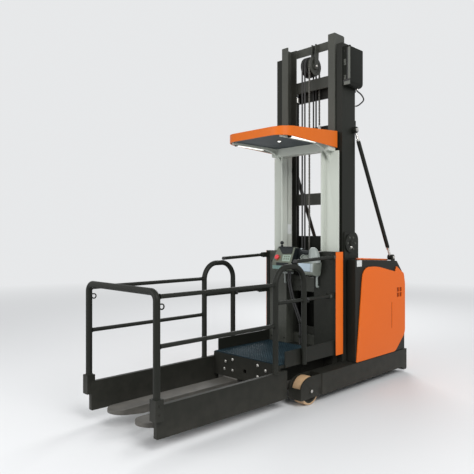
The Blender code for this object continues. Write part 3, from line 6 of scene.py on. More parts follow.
import bmesh
import bpy
import numpy as np
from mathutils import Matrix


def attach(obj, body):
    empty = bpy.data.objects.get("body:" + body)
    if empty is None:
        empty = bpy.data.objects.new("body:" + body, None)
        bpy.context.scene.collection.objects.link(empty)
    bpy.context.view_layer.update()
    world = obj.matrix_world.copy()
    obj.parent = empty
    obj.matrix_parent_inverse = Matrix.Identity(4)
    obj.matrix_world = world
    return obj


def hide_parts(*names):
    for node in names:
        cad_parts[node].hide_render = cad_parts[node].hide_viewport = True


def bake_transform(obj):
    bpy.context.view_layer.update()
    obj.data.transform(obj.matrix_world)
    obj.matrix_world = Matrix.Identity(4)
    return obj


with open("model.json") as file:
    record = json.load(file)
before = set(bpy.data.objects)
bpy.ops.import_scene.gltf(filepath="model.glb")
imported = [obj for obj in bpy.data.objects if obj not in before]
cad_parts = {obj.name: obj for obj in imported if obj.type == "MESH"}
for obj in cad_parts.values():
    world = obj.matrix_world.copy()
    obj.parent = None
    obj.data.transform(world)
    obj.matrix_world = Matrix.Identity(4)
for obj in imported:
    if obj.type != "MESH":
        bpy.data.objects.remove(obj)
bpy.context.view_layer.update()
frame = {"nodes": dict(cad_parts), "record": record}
nodes = frame["nodes"]
body_of = {node: body for body, members in frame["record"]["behaviour"]["bodies"].items() for node in members}
SIDES = {"left": 1, "right": -1}
BOTH = (1, -1)
X, Y, Z = np.eye(3)

# Camera: level at a person's eye height, in front of the machine's right-hand corner. Its lens gives the
# photograph's perspective, and the small shift its framing.
PHOTO_SIZE, HORIZON_RISE = 474, 3
lens = bpy.data.cameras.new("standpoint")
lens.lens, lens.sensor_width = 41.0, 36.0
lens.shift_y = -HORIZON_RISE / PHOTO_SIZE
camera = bpy.data.objects.new("standpoint", lens)
camera.location = (-3.75, -3.39, 1.48)
camera.rotation_euler = (math.radians(90), 0, math.radians(-44.6))
bpy.context.scene.collection.objects.link(camera)
bpy.context.scene.camera = camera
bpy.context.scene.view_settings.view_transform = "Standard"


def wired(tree, kind, inputs=(), **settings):
    """A shader node with its settings, and each input set to a value or joined to another node's output."""
    made = tree.nodes.new(kind)
    for key, value in settings.items():
        setattr(made, key, value)
    for key, value in dict(inputs).items():
        if isinstance(value, bpy.types.NodeSocket):
            tree.links.new(value, made.inputs[key])
        else:
            made.inputs[key].default_value = value
    return made


def maths(tree, operation, first, second=0.0, clamp=False):
    """The output of one Math node."""
    terms = {0: first, 1: second}
    return wired(tree, "ShaderNodeMath", terms, operation=operation, use_clamp=clamp).outputs[0]


# Stage: a plain pale floor that fades into a pale backdrop, under soft studio light. The pale background is
# its own colour, seen by the camera and in reflections, and the lamps keep the machine at a plain level.
FLOOR_HALF = 30.0
FADE_START, FADE_LENGTH = 3.5, 9.0
BACKDROP, AMBIENT = (0.80, 0.81, 0.82, 1), 0.55
floor_mesh = bpy.data.meshes.new("studio_floor")
floor_corners = FLOOR_HALF * np.array([(-1, -1, 0), (1, -1, 0), (1, 1, 0), (-1, 1, 0)])
floor_mesh.from_pydata(floor_corners.tolist(), [], [(0, 1, 2, 3)])
floor = bpy.data.objects.new("studio_floor", floor_mesh)
bpy.context.scene.collection.objects.link(floor)


def seen_rays(tree):
    """1 for the rays that the camera, a gloss or a glass sends out."""
    path = wired(tree, "ShaderNodeLightPath").outputs
    direct = maths(tree, "MAXIMUM", path["Is Camera Ray"], path["Is Glossy Ray"])
    return maths(tree, "MAXIMUM", direct, path["Is Transmission Ray"])


floor_paint = bpy.data.materials.new("studio_floor")
floor_paint.use_nodes = True
tree = floor_paint.node_tree
matt = tree.nodes["Principled BSDF"]
matt.inputs["Base Color"].default_value = (0.70, 0.705, 0.71, 1)
matt.inputs["Roughness"].default_value = 0.9
spot = wired(tree, "ShaderNodeTexCoord").outputs["Object"]
radius = wired(tree, "ShaderNodeVectorMath", {0: spot}, operation="LENGTH").outputs["Value"]
away = maths(tree, "DIVIDE", maths(tree, "SUBTRACT", radius, FADE_START), FADE_LENGTH, True)
away = maths(tree, "MULTIPLY", away, seen_rays(tree))
backdrop = wired(tree, "ShaderNodeEmission", {"Color": BACKDROP}).outputs[0]
faded = wired(tree, "ShaderNodeMixShader", {0: away, 1: matt.outputs[0], 2: backdrop}).outputs[0]
tree.links.new(faded, tree.nodes["Material Output"].inputs["Surface"])
floor_mesh.materials.append(floor_paint)

world = bpy.data.worlds.new("studio")
bpy.context.scene.world = world
world.use_nodes = True
tree = world.node_tree
tree.nodes.clear()
lit = wired(tree, "ShaderNodeBackground", {"Color": (0.96, 0.98, 1.0, 1), "Strength": AMBIENT}).outputs[0]
shown = wired(tree, "ShaderNodeBackground", {"Color": BACKDROP}).outputs[0]
mixed = wired(tree, "ShaderNodeMixShader", {0: seen_rays(tree), 1: lit, 2: shown}).outputs[0]
wired(tree, "ShaderNodeOutputWorld", {"Surface": mixed})

for label, place, target, width, power in (
        ("key", (-2.5, -6.0, 5.5), (0.3, 0.0, 1.2), 3.5, 400),
        ("fill", (-6.0, 1.5, 3.0), (0.0, 0.0, 1.2), 4.0, 180),
        ("rear", (5.5, 3.5, 5.0), (0.5, 0.0, 1.5), 3.0, 240)):
    lamp = bpy.data.lights.new(f"lamp_{label}", "AREA")
    lamp.size, lamp.energy = width, power
    holder = bpy.data.objects.new(f"lamp_{label}", lamp)
    aim = np.subtract(target, place)
    tilt, turn = math.acos(-aim[2] / np.linalg.norm(aim)), math.atan2(aim[1], aim[0])
    holder.location, holder.rotation_euler = place, (tilt, 0, turn - math.pi / 2)
    bpy.context.scene.collection.objects.link(holder)

# Chassis: a welded frame of two straddle legs, a base plate and a rear wall, sprayed with satin charcoal
# powder coat. Its plates are rounded at the load wheels, whose axles are kept by bolted plates.


def skin(name, **inputs):
    """A node group that makes a colour, a roughness and a height from its inputs. It comes with its inputs, its
    outputs and the place on the piece."""
    group = bpy.data.node_groups.new(name, "ShaderNodeTree")
    for label, value in inputs.items():
        kind = "NodeSocketColor" if isinstance(value, tuple) else "NodeSocketFloat"
        group.interface.new_socket(name=label, in_out="INPUT", socket_type=kind).default_value = value
    for label, kind in (("Colour", "Color"), ("Roughness", "Float"), ("Height", "Float")):
        group.interface.new_socket(name=label, in_out="OUTPUT", socket_type=f"NodeSocket{kind}")
    place = wired(group, "ShaderNodeTexCoord").outputs["Object"]
    return group, group.nodes.new("NodeGroupInput").outputs, group.nodes.new("NodeGroupOutput").inputs, place


def gives(tree, result, **outputs):
    """Joins what a skin gives out to its outputs."""
    for label, value in outputs.items():
        tree.links.new(value, result[label])


def noise(tree, place, scale, detail):
    """A noise between 0 and 1 over the given place."""
    inputs = {"Vector": place, "Scale": scale, "Detail": detail}
    return wired(tree, "ShaderNodeTexNoise", inputs).outputs["Fac"]


def blended(tree, share, first, second):
    """The first colour turning into the second by the given share."""
    return wired(tree, "ShaderNodeMix", {0: share, 6: first, 7: second}, data_type="RGBA").outputs[2]


def above(tree, source, start, gain):
    """What a source has above a start, times a gain, kept between 0 and 1."""
    return maths(tree, "MULTIPLY", maths(tree, "SUBTRACT", source, start), gain, True)


def plus(tree, base, source, gain):
    """The base and a source times a gain, kept between 0 and 1."""
    return maths(tree, "ADD", base, maths(tree, "MULTIPLY", source, gain), True)


def broken(tree, share, place, scale, detail, amount):
    """A share broken up by a noise, times an amount."""
    share = maths(tree, "MULTIPLY", share, noise(tree, place, scale, detail))
    return maths(tree, "MULTIPLY", share, amount, True)


def settled_dust(tree, place, amount):
    """Share of floor dust: it falls off with height, up to DUST_HEIGHT, and a noise breaks it up."""
    height = wired(tree, "ShaderNodeSeparateXYZ", {0: place}).outputs["Z"]
    low = maths(tree, "SUBTRACT", 1.0, maths(tree, "DIVIDE", height, DUST_HEIGHT), True)
    return broken(tree, low, place, 11.0, 5.0, amount)


def worn_and_highlit_edge(tree, place, amount):
    """Edge lightening, part wear and part painted highlight: outer edges by their pointiness, broken up by a
    noise.
    """
    point = wired(tree, "ShaderNodeNewGeometry").outputs["Pointiness"]
    return broken(tree, above(tree, point, 0.53, 9.0), place, 38.0, 3.0, amount)


DUST, DUST_HEIGHT = (0.3, 0.27, 0.23, 1), 0.45
tree, given, result, place = skin("powder_coat", Coat=(0.5, 0.5, 0.5, 1), Worn=(0.6, 0.6, 0.6, 1), Drift=0.12,
                                  Wear=0.3, Dust=0.15, Roughness=0.45)
POWDER_COAT = tree
broad = noise(tree, place, 2.3, 4.0)
coat = blended(tree, above(tree, broad, 0.35, given["Drift"]), given["Coat"], given["Worn"])
# Edges lighten towards the worn colour: partly wear, partly a painted highlight.
coat = blended(tree, worn_and_highlit_edge(tree, place, given["Wear"]), coat, given["Worn"])
dust = settled_dust(tree, place, given["Dust"])
gives(tree, result, Colour=blended(tree, dust, coat, DUST), Height=noise(tree, place, 420.0, 2.0),
      Roughness=plus(tree, plus(tree, given["Roughness"], broad, 0.1), dust, 0.5))

tree, given, result, place = skin("bare_metal", Metal=(0.5, 0.5, 0.5, 1), Grime=(0.1, 0.09, 0.08, 1),
                                  Soil=0.3, Roughness=0.35, Streak=30.0)
BARE_METAL = tree
lengthwise = wired(tree, "ShaderNodeVectorMath", {0: place, 1: (1, 1, 0.06)}, operation="MULTIPLY").outputs[0]
streaks = noise(tree, lengthwise, given["Streak"], 4.0)
soiled = above(tree, noise(tree, place, 9.0, 4.0), 0.4, given["Soil"])
soiled = plus(tree, soiled, streaks, maths(tree, "MULTIPLY", given["Soil"], 0.5))
gives(tree, result, Colour=blended(tree, soiled, given["Metal"], given["Grime"]), Height=streaks,
      Roughness=plus(tree, given["Roughness"], streaks, 0.15))

BUMP_DEPTH = 0.001


def finish(name, kind, bump=0.04, **values):
    """A material whose skin gives its colour, roughness and bump. Values go to the skin's inputs, and the rest
    to the shader's own sockets."""
    made = bpy.data.materials.new(name)
    made.use_nodes = True
    tree = made.node_tree
    shader = tree.nodes["Principled BSDF"]
    layer = wired(tree, "ShaderNodeGroup", node_tree=kind)
    for label, value in values.items():
        socket = layer.inputs[label] if label in layer.inputs else shader.inputs[label.replace("_", " ")]
        socket.default_value = (*value, 1) if isinstance(value, tuple) else value
    height = {"Strength": bump, "Distance": BUMP_DEPTH, "Height": layer.outputs["Height"]}
    tree.links.new(wired(tree, "ShaderNodeBump", height).outputs["Normal"], shader.inputs["Normal"])
    tree.links.new(layer.outputs["Colour"], shader.inputs["Base Color"])
    tree.links.new(layer.outputs["Roughness"], shader.inputs["Roughness"])
    return made


DULL_GLOSS = 0.16                 # specular level of a coat of paint that has gone a little dull


def coated(name, coat, worn_and_highlight, roughness, gloss=DULL_GLOSS, **more):
    """Powder coat in one colour that drifts and wears to another; its edges lighten as wear and as painted
    highlight.
    """
    more.update(Coat=coat, Worn=worn_and_highlight, Roughness=roughness, Specular_IOR_Level=gloss)
    return finish(name, POWDER_COAT, **more)


charcoal = coated("charcoal_coat", (0.0105, 0.0115, 0.0088), (0.045, 0.046, 0.04), 0.44)
zinc = finish("zinc_plate", BARE_METAL, 0.05, Metal=(0.62, 0.61, 0.58), Grime=(0.22, 0.2, 0.17), Soil=0.35,
              Roughness=0.3, Metallic=0.9)


def placed(name, mesh, paint, like, slot=None, smooth=35.0, bevel=0.0, segments=2, rides=True,
           stands_in=False):
    """An object on the body of the CAD node it goes with, unless it is told not to ride. It may stand in for
    that node.
    """
    mesh.materials.clear()
    mesh.materials.append(paint)
    mesh.shade_smooth()
    mesh.set_sharp_from_angle(angle=math.radians(smooth))
    made = bpy.data.objects.new(name, mesh)
    bpy.context.scene.collection.objects.link(made)
    if bevel:
        round_off = made.modifiers.new("rounded edges", "BEVEL")
        round_off.width, round_off.segments = bevel, segments
        round_off.limit_method, round_off.angle_limit = "ANGLE", math.radians(35)
        round_off.harden_normals = True
    if rides:
        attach(made, body_of[like])
    if stands_in:
        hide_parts(like)
    return made


def softened(node, paint, width=0.0025, segments=2, shift=None):
    """A CAD node's shape with its flat faces whole and its sheared edges rounded off. A shift of the vertices
    corrects it where the photo asks for that."""
    mesh = bpy.data.meshes.new(node)
    bm = bmesh.new()
    bm.from_mesh(nodes[node].data)
    bmesh.ops.remove_doubles(bm, verts=bm.verts, dist=1e-5)
    bmesh.ops.dissolve_limit(bm, angle_limit=math.radians(1.0), verts=bm.verts, edges=bm.edges)
    bm.to_mesh(mesh)
    bm.free()
    if shift:
        at = np.empty(3 * len(mesh.vertices))
        mesh.vertices.foreach_get("co", at)
        mesh.vertices.foreach_set("co", shift(at.reshape(-1, 3)).ravel())
    placed(f"{node}_body", mesh, paint, node, bevel=width, segments=segments, stands_in=True)


def skinned(rings, closed=False):
    """Skin over a row of rings: point j of ring i joins its neighbours both ways, and flat ends close it."""
    rows, around = rings.shape[:2]
    i = np.arange(rows if closed else rows - 1)[:, None]
    j = np.arange(around)[None]
    near, far, turn = i * around, (i + 1) % rows * around, (j + 1) % around
    faces = [np.stack(np.broadcast_arrays(near + j, near + turn, far + turn, far + j), -1).reshape(-1, 4)]
    if not closed:
        faces += [j[:, ::-1], j + (rows - 1) * around]
    return rings.reshape(-1, 3), faces


def joined(*parts):
    """Several shapes as one, with the later ones' corners counted on."""
    starts = np.cumsum([0] + [len(points) for points, _ in parts])
    faces = [f + start for (_, faces), start in zip(parts, starts) for f in faces]
    return np.vstack([points for points, _ in parts]), faces


def repeated(part, places):
    """Copies of a shape, one shifted to each place."""
    points, faces = part
    places = np.atleast_2d(places)
    starts = np.arange(len(places))[:, None, None] * len(points)
    return (points + places[:, None]).reshape(-1, 3), [(f + starts).reshape(-1, f.shape[1]) for f in faces]


def unit(vectors):
    """Vectors scaled to length 1."""
    vectors = np.asarray(vectors, float)
    return vectors / np.maximum(np.linalg.norm(vectors, axis=-1, keepdims=True), 1e-9)


def full_turn(count):
    """Angles at even steps round a circle."""
    return np.linspace(0, 2 * np.pi, count, endpoint=False)


def turned(profile, centre, along=Z, sides=32, closed=False):
    """Rows of (distance, radius) in millimetres about an axis: centre + d·axis + r(cos a·u + sin a·v)."""
    profile, axis = np.asarray(profile, float) / 1000, unit(along)
    u = unit(np.cross(axis, X if abs(axis[2]) > 0.9 else Z))
    a = full_turn(sides)[:, None]
    circle = np.cos(a) * u + np.sin(a) * np.cross(axis, u)
    return skinned(centre + profile[:, :1, None] * axis + profile[:, 1:, None] * circle, closed)


def plate(corners, low, high, axis=2):
    """A plate square to an axis: corners in the other two coordinates, carried from one end to the other. An
    end may differ from corner to corner."""
    ring = np.insert(np.asarray(corners, float), axis, 0, 1)
    way = np.eye(3)[axis]
    return skinned(np.stack([ring + np.broadcast_to(end, len(ring))[:, None] * way for end in (low, high)]))


def slab(x, y, z):
    """A block between three pairs of limits."""
    (left, right), (near, far), z = np.sort((x, y, z))
    return plate([(left, near), (right, near), (right, far), (left, far)], *z)


def made_of(name, parts, paint, like, **placing):
    """An object from one or more shapes, with doubled points merged and faces turned outwards."""
    points, faces = joined(*parts)
    mesh = bpy.data.meshes.new(name)
    mesh.from_pydata(points.tolist(), [], [row for block in faces for row in block.tolist()])
    bm = bmesh.new()
    bm.from_mesh(mesh)
    bmesh.ops.remove_doubles(bm, verts=bm.verts, dist=1e-6)
    bmesh.ops.recalc_face_normals(bm, faces=bm.faces)
    bm.to_mesh(mesh)
    bm.free()
    return placed(name, mesh, paint, like, **placing)


def hex_heads(places, way, size, height=0.9):
    """Hexagon heads on round washers. The size is half a head's width over its corners, in millimetres."""
    top, seat = height * size, min(0.2, height / 3) * size
    head = turned([(seat, size), (0.85 * top, size), (top, 0.84 * size)], (0, 0, 0), way, 6)
    washer = turned([(0, 1.3 * size), (0.8 * seat, 1.3 * size), (seat, 1.22 * size)], (0, 0, 0), way, 16)
    return repeated(joined(head, washer), places)


def bar(path, radius, across=Y, sides=20):
    """Round bar along a path: centre + r(cos a·side + sin a·tangent × side), side square to the path."""
    path = np.asarray(path, float)
    tangent = unit(np.gradient(path, axis=0))
    side = unit(across - (tangent @ across)[:, None] * tangent)
    a = full_turn(sides)[None, :, None]
    circle = np.cos(a) * side[:, None] + np.sin(a) * np.cross(tangent, side)[:, None]
    return skinned(path[:, None] + np.broadcast_to(radius, len(path))[:, None, None] * circle)


def weld(start, end, size, across=Y):
    """Fillet bead between two points: a bar whose radius swells and shrinks once per ripple."""
    start, end = np.asarray(start, float), np.asarray(end, float)
    ripples = max(3, int(np.linalg.norm(end - start) / (1.1 * size)))
    s = np.linspace(0, 1, 4 * ripples + 1)[:, None]
    swell = size * (0.9 + 0.1 * np.cos(2 * np.pi * ripples * s[:, 0]))
    return bar(start + s * (end - start), swell, across, 8)


softened("chassis_frame", charcoal, 0.004)
softened("steering_bridge", charcoal)
WHEEL_X, WHEEL_Y, WHEEL_Z = -0.02, 0.455, 0.1225
PLATE_FACE, LEG_FRONT, LEG_INNER, WELD_SPAN = 0.525, 0.125, 0.385, (0.075, 0.245)
keepers, studs, beads = [], [], []
for side in BOTH:
    face = np.array((WHEEL_X, side * PLATE_FACE, WHEEL_Z))
    keepers.append(turned([(-1, 30), (2.5, 30), (3, 29)], face, side * Y, 28))
    studs.append(hex_heads([face + side * 0.003 * Y], side * Y, 11, 0.33))
    for y, size in ((PLATE_FACE, 0.005), (LEG_INNER, 0.004)):
        beads.append(weld(*[(LEG_FRONT, side * y, z) for z in WELD_SPAN], size))
made_of("axle_keepers", keepers, charcoal, "chassis_frame")
made_of("axle_bolts", studs, zinc, "chassis_frame")
made_of("leg_welds", beads, charcoal, "chassis_frame")

# Load wheels: cast hubs with dished faces, a ring of bolts and a pressed-on tan polyurethane tyre.
tree, given, result, place = skin("moulding", Colour=(0.1, 0.1, 0.1, 1), Faded=(0.2, 0.2, 0.2, 1), Drift=0.3,
                                  Dust=0.1, Grain=900.0, Roughness=0.55)
MOULDING = tree
pebbles = wired(tree, "ShaderNodeTexVoronoi", {"Vector": place, "Scale": given["Grain"]}).outputs["Distance"]
dust = settled_dust(tree, place, given["Dust"])
moulded = above(tree, noise(tree, place, 5.0, 4.0), 0.35, given["Drift"])
moulded = blended(tree, moulded, given["Colour"], given["Faded"])
gives(tree, result, Colour=blended(tree, dust, moulded, DUST), Height=pebbles,
      Roughness=plus(tree, plus(tree, given["Roughness"], pebbles, 0.12), dust, 0.3))


def plastic(name, colour, faded, roughness=0.55, dust=0.0, **more):
    """Moulded plastic or rubber in one colour that fades to another."""
    return finish(name, MOULDING, Colour=colour, Faded=faded, Roughness=roughness, Dust=dust, **more)


def on_circle(radius, angles):
    """Points on a circle round Y: r(cos a, 0, sin a)."""
    return radius * np.column_stack((np.cos(angles), np.zeros(len(angles)), np.sin(angles)))


def mirrored(rows):
    """The rows of a profile, followed by their mirror image."""
    rows = np.asarray(rows, float)
    return np.vstack((rows, rows[::-1] * (-1, 1)))


def hub_bolts(name, axle, ring, face, size, node):
    """Six heads on both faces of a hub."""
    spots = axle + on_circle(ring, full_turn(6))
    heads = [hex_heads(spots + way * face * Y, way * Y, size) for way in BOTH]
    made_of(name, heads, zinc, node)


tan_tyre = plastic("tan_polyurethane", (0.66, 0.42, 0.22), (0.52, 0.33, 0.18), 0.42, 0.55, Drift=0.8,
                   Grain=260.0, bump=0.08)
LOAD_RADIUS, LOAD_RIM, AXLE_BORE = 122.5, 104.5, 15.8
a = np.linspace(0, np.pi / 2, 6)
shoulder = np.column_stack((45 + 9 * np.cos(a), 112.5 + 8.5 * np.sin(a)))
half = np.vstack(([(54, LOAD_RIM)], shoulder, [(30, 122.2)]))
tyre_rows = np.vstack((half, [(0, LOAD_RADIUS)], half[::-1] * (-1, 1)))
hub_rows = mirrored([(54, AXLE_BORE), (54, 36), (51, 39), (38, 47), (36, 52), (36, 80), (38, 86), (50, 93),
                     (52.5, 96), (52.5, LOAD_RIM)])
for label, side in SIDES.items():
    axle, node = np.array((WHEEL_X, side * WHEEL_Y, WHEEL_Z)), f"load_wheel_{label}"
    made_of(f"load_tyre_{label}", [turned(tyre_rows, axle, Y, 72, True)], tan_tyre, node, stands_in=True)
    made_of(f"load_hub_{label}", [turned(hub_rows, axle, Y, 48, True)], charcoal, node, bevel=0.001)
    hub_bolts(f"load_hub_bolts_{label}", axle, 0.066, 0.036, 6, node)

# Drive wheel: a black tyre with two grooves on a cast hub, held by six nuts, under a turning yoke.
black_rubber = plastic("black_rubber", (0.018, 0.018, 0.018), (0.05, 0.05, 0.048), 0.62, 0.4, Grain=700.0,
                       bump=0.06)
softened("drive_yoke", charcoal)
axle = np.array((1.3, 0, 0.17))
wall = [(55, 140), (54.5, 158), (51, 166), (44, 169.8)]
groove = [(24, 170), (22, 163), (17, 163), (15, 170)]
hub_rows = mirrored([(55, AXLE_BORE), (55, 40), (51, 44), (35, 52), (33, 58), (33, 106), (36, 114), (52, 128),
                     (54, 140)])
tyre = turned(mirrored(wall + groove), axle, Y, 80, True)
made_of("drive_tyre", [tyre], black_rubber, "drive_wheel", stands_in=True)
made_of("drive_hub", [turned(hub_rows, axle, Y, 56, True)], charcoal, "drive_wheel", bevel=0.001)
hub_bolts("drive_wheel_nuts", axle, 0.082, 0.033, 11, "drive_wheel")

# Body: a charcoal steel housing with sheet-steel covers in gloss orange, bent over at their edges. The stays'
# lugs stand on its shoulders, and a blank plate marks each side. Dark orange plates in the vents and the slot
# are
# painted shade: they stand for the orange inside them in shadow.
orange = coated("orange_coat", (0.7, 0.125, 0.007), (0.84, 0.24, 0.05), 0.32, Wear=0.15, Dust=0.05, Drift=0.1,
                bump=0.03)
battery_grey = plastic("battery_case", (0.13, 0.14, 0.14), (0.2, 0.2, 0.2), dust=0.2)
plate_white = plastic("blank_plate", (0.6, 0.62, 0.61), (0.48, 0.5, 0.49), 0.4, 0.1, Drift=0.5, Grain=300.0,
                      bump=0.02)
# Dark orange for the vents and the slot is painted shade: the orange inside them in shadow.
vent_shade_orange = plastic("vent_shade_orange", (0.24, 0.036, 0.006), (0.28, 0.045, 0.008), Specular_IOR_Level=0.1)


def leaning(at):
    """The covers' front edges lean back: forward of X 1.25, x grows by 0.039 of the rise over Z 0.3 to 1.05."""
    rise = np.clip((at[:, 2] - 0.3) / 0.75, 0, 1) * np.clip((1.25 - at[:, 0]) / 0.35, 0, 1)
    return at + 0.039 * rise[:, None] * X


def falling(at):
    """The housing's top falls to the rear: above Z 1.24, z drops by 0.010 + 0.034 (x - 0.665) / 0.75."""
    drop = (0.01 + 0.034 * (at[:, 0] - 0.665) / 0.75) * np.clip((at[:, 2] - 1.17) / 0.07, 0, 1)
    return at - drop[:, None] * Z


softened("body_housing", charcoal, 0.004, 3, falling)
for label in SIDES:
    softened(f"side_cover_{label}", orange, 0.005, 4, leaning)
softened("top_cover", orange, 0.006, 4, falling)
softened("rear_cover", orange, 0.004, 3)
softened("battery", battery_grey, 0.006)
DOOR_SIDE, DOOR_FACE = 0.4985, 1.6097
LUG_FACE, LUG_X, LUG_Z = 0.4983, 1.42, 1.235
HINGE_LEVELS, LATCH_LEVELS = (0.42, 0.7, 0.98), (0.5, 0.9)
hinges, latches, lug_bolts, plates, vents = [], [], [], [], []
for z in HINGE_LEVELS:
    rows = [(-30, 7.5), (-10.5, 7.5), (-10, 6.5), (-9.5, 7.5), (9.5, 7.5), (10, 6.5), (10.5, 7.5), (30, 7.5)]
    hinges.append(turned(rows, (1.6185, -DOOR_SIDE, z), Z, 16))
    hinges.append(slab((DOOR_FACE, 1.6135), (-0.517, -DOOR_SIDE), (z - 0.028, z + 0.028)))
for z in LATCH_LEVELS:
    latches.append(slab((DOOR_FACE, 1.62), (0.4925, 0.508), (z - 0.02, z + 0.02)))
for side in BOTH:
    lug_bolts.append(hex_heads([(LUG_X, side * LUG_FACE, LUG_Z)], side * Y, 13, 0.75))
    for group, faces, x, z in (
            (plates, (0.52, 0.521), (0.69, 0.775), (1.166, 1.226)),
            # Painted shade: dark orange plates in the two vents and in the slot below them.
            (vents, (0.519, 0.5255), (1.4305, 1.5325), (0.8165, 0.9185)),
            (vents, (0.519, 0.5295), (1.3205, 1.3295), (0.5065, 0.7745))):
        group.append(slab(x, side * np.array(faces), z))
made_of("rear_door_hinges", hinges, charcoal, "body_housing", bevel=0.0008)
made_of("rear_door_latches", latches, charcoal, "body_housing", bevel=0.003, segments=3)
made_of("stay_lug_bolts", lug_bolts, zinc, "body_housing")
made_of("body_blank_plates", plates, plate_white, "body_housing")
made_of("vent_shade_plates", vents, vent_shade_orange, "body_housing")

# Outer mast: two rolled channels with welded cross members, standing on brackets that are bolted to the body.
# A lift cylinder with a gland nut is clamped behind each channel.
mast_steel = coated("mast_coat", (0.036, 0.038, 0.031), (0.12, 0.125, 0.105), 0.38, 0.3, Drift=0.35, Wear=0.45,
                    Dust=0.1, bump=0.05)
softened("mast_outer", charcoal, 0.003)
DISC_X, DISC_Z, DISC_FACE = 0.718, 1.39, 0.439
CYLINDER_X, CYLINDER_Y, BARREL_TOP, ROD_BORE = 0.788, 0.29, 2.93, 15.2
BRACKET_LEVELS = (1.3, 1.46, 2.5, 2.6)
foot_bolts, lock_bolts, caps, glands, beads = [], [], [], [], []
for side in BOTH:
    middle = np.array((DISC_X, side * DISC_FACE, DISC_Z))
    foot_bolts.append(hex_heads(middle + on_circle(0.062, full_turn(6)), side * Y, 9.5))
    lock_bolts.append(hex_heads([middle + (-0.0015, 0, -0.038)], side * Y, 11))
    caps.append(turned([(-1, 27), (6, 27), (8, 24), (8.5, 12), (6, 10)], middle, side * Y))
    top = (CYLINDER_X, side * CYLINDER_Y, BARREL_TOP)
    glands.append(turned([(-45, ROD_BORE), (-45, 23.5), (-43, 25.5), (-12, 25.5), (-10, 23.5), (6, 23.5),
                          (9, 20.5), (9, ROD_BORE)], top, Z, 32, True))
    for z in BRACKET_LEVELS:
        beads.append(weld((0.822, side * 0.371, z), (0.822, side * 0.405, z), 0.004, Z))
made_of("mast_foot_bolts", foot_bolts, mast_steel, "mast_outer")
made_of("mast_lock_bolts", lock_bolts, zinc, "mast_outer")
made_of("mast_foot_caps", caps, charcoal, "mast_outer")
made_of("cylinder_glands", glands, zinc, "mast_outer")
made_of("mast_welds", beads, charcoal, "mast_outer")

# Inner mast: narrower channels that roll inside the outer ones on steel guide rollers, with cross members, the
# chain sheave between two cheeks at the top, and the chromed piston rods behind.
softened("mast_inner", mast_steel)
chrome = finish("rod_chrome", BARE_METAL, 0.01, Metal=(0.72, 0.73, 0.74), Grime=(0.3, 0.28, 0.24), Soil=0.12,
                Roughness=0.1, Metallic=1.0)
roller_steel = finish("roller_steel", BARE_METAL, Metal=(0.36, 0.35, 0.33), Grime=(0.05, 0.045, 0.04),
                      Soil=0.6, Roughness=0.32, Metallic=0.9)


def roller_rows(width, shoulder, radius, *steps):
    """Profile of a guide roller: chamfered edges, and an outer face that steps down and up again to the pin."""
    down, low, high, up = steps
    return [(-width, 0), (-width, shoulder), (2 - width, radius), (-2, radius), (0, shoulder), (0.2, down),
            (-3, low), (-3, high), (0.2, up), (0.2, 0)]


rods, rollers = [], []
for side in BOTH:
    rods.append(turned([(0, 14.5), (2540, 14.5)], (CYLINDER_X, side * CYLINDER_Y, 0.452), Z, 28))
    for z in (0.4, 0.9):
        rows = roller_rows(52, 92, 95.2, 40, 36, 20, 18)
        rollers.append(turned(rows, (0.7125, side * 0.395, z), side * Y, 48))
made_of("piston_rods", rods, chrome, "mast_inner", slot="chain_steel")
made_of("guide_rollers", rollers, roller_steel, "mast_inner", slot="chain_steel")

# Chain sheave: a turned steel wheel with a grooved rim on a plain pin. Two narrow pulleys for the hoses turn
# beside it on the same pin.
SHEAVE_X, SHEAVE_Z, PITCH_RADIUS = 0.71, 3.2, 0.084
HOSE_ROWS, HOSE_RADIUS, PULLEY_PITCH = (0.05, 0.084), 0.008, 0.094
hub = np.array((SHEAVE_X, 0.0, SHEAVE_Z))
flank = mirrored([(15, 12.8), (15, 30), (9, 34), (8, 62), (15, 68), (15, 93), (13.5, 95), (10.5, 95),
                  (9.8, 76.5)])
made_of("chain_sheave", [turned(flank, hub, Y, 64, True)], mast_steel, "mast_sheave", stands_in=True)
a = np.linspace(-np.pi / 2, np.pi / 2, 9)
hollow = np.column_stack((9.2 * np.sin(a), 104 - 18.2 * np.cos(a)))
cheek = np.array([(12.5, 103), (12.5, 84), (8.5, 78), (8.5, 34), (12.5, 28), (12.5, 12)])
pulley = np.vstack((cheek[::-1] * (-1, 1), hollow, cheek))
pin = [(-36, 0), (-36, 10.5), (-34, 11.8), (100, 11.8), (102, 10.5), (102, 0)]
pulleys = [turned(pulley, hub + y * Y, Y, 56, True) for y in HOSE_ROWS]
made_of("hose_pulleys", pulleys, black_rubber, "mast_inner")
made_of("sheave_pin", [turned(pin, hub, Y, 24)], zinc, "mast_inner")

# Lift chain: a leaf chain of figure-eight steel plates on riveted pins. It runs from the carriage over the
# sheave to the outer mast in two straight runs.
LINK_PITCH, PLATE_THICK, PLATE_WAIST, PLATE_END = 0.019, 0.0021, 0.0042, 0.0066
OUTER_ROWS, INNER_ROWS = (-0.0062, -0.002, 0.002, 0.0062), (-0.0041, 0.0, 0.0041)
chain_steel = finish("chain_steel", BARE_METAL, Metal=(0.17, 0.165, 0.15), Grime=(0.045, 0.04, 0.035),
                     Soil=0.7, Roughness=0.34, Metallic=0.9)
a = np.linspace(np.pi / 2, -np.pi / 2, 7)
cap = np.column_stack((LINK_PITCH / 2 + PLATE_END * np.cos(a), PLATE_END * np.sin(a)))
PLATE_OUTLINE = np.vstack(([(0, PLATE_WAIST)], cap, [(0, -PLATE_WAIST)], -cap))


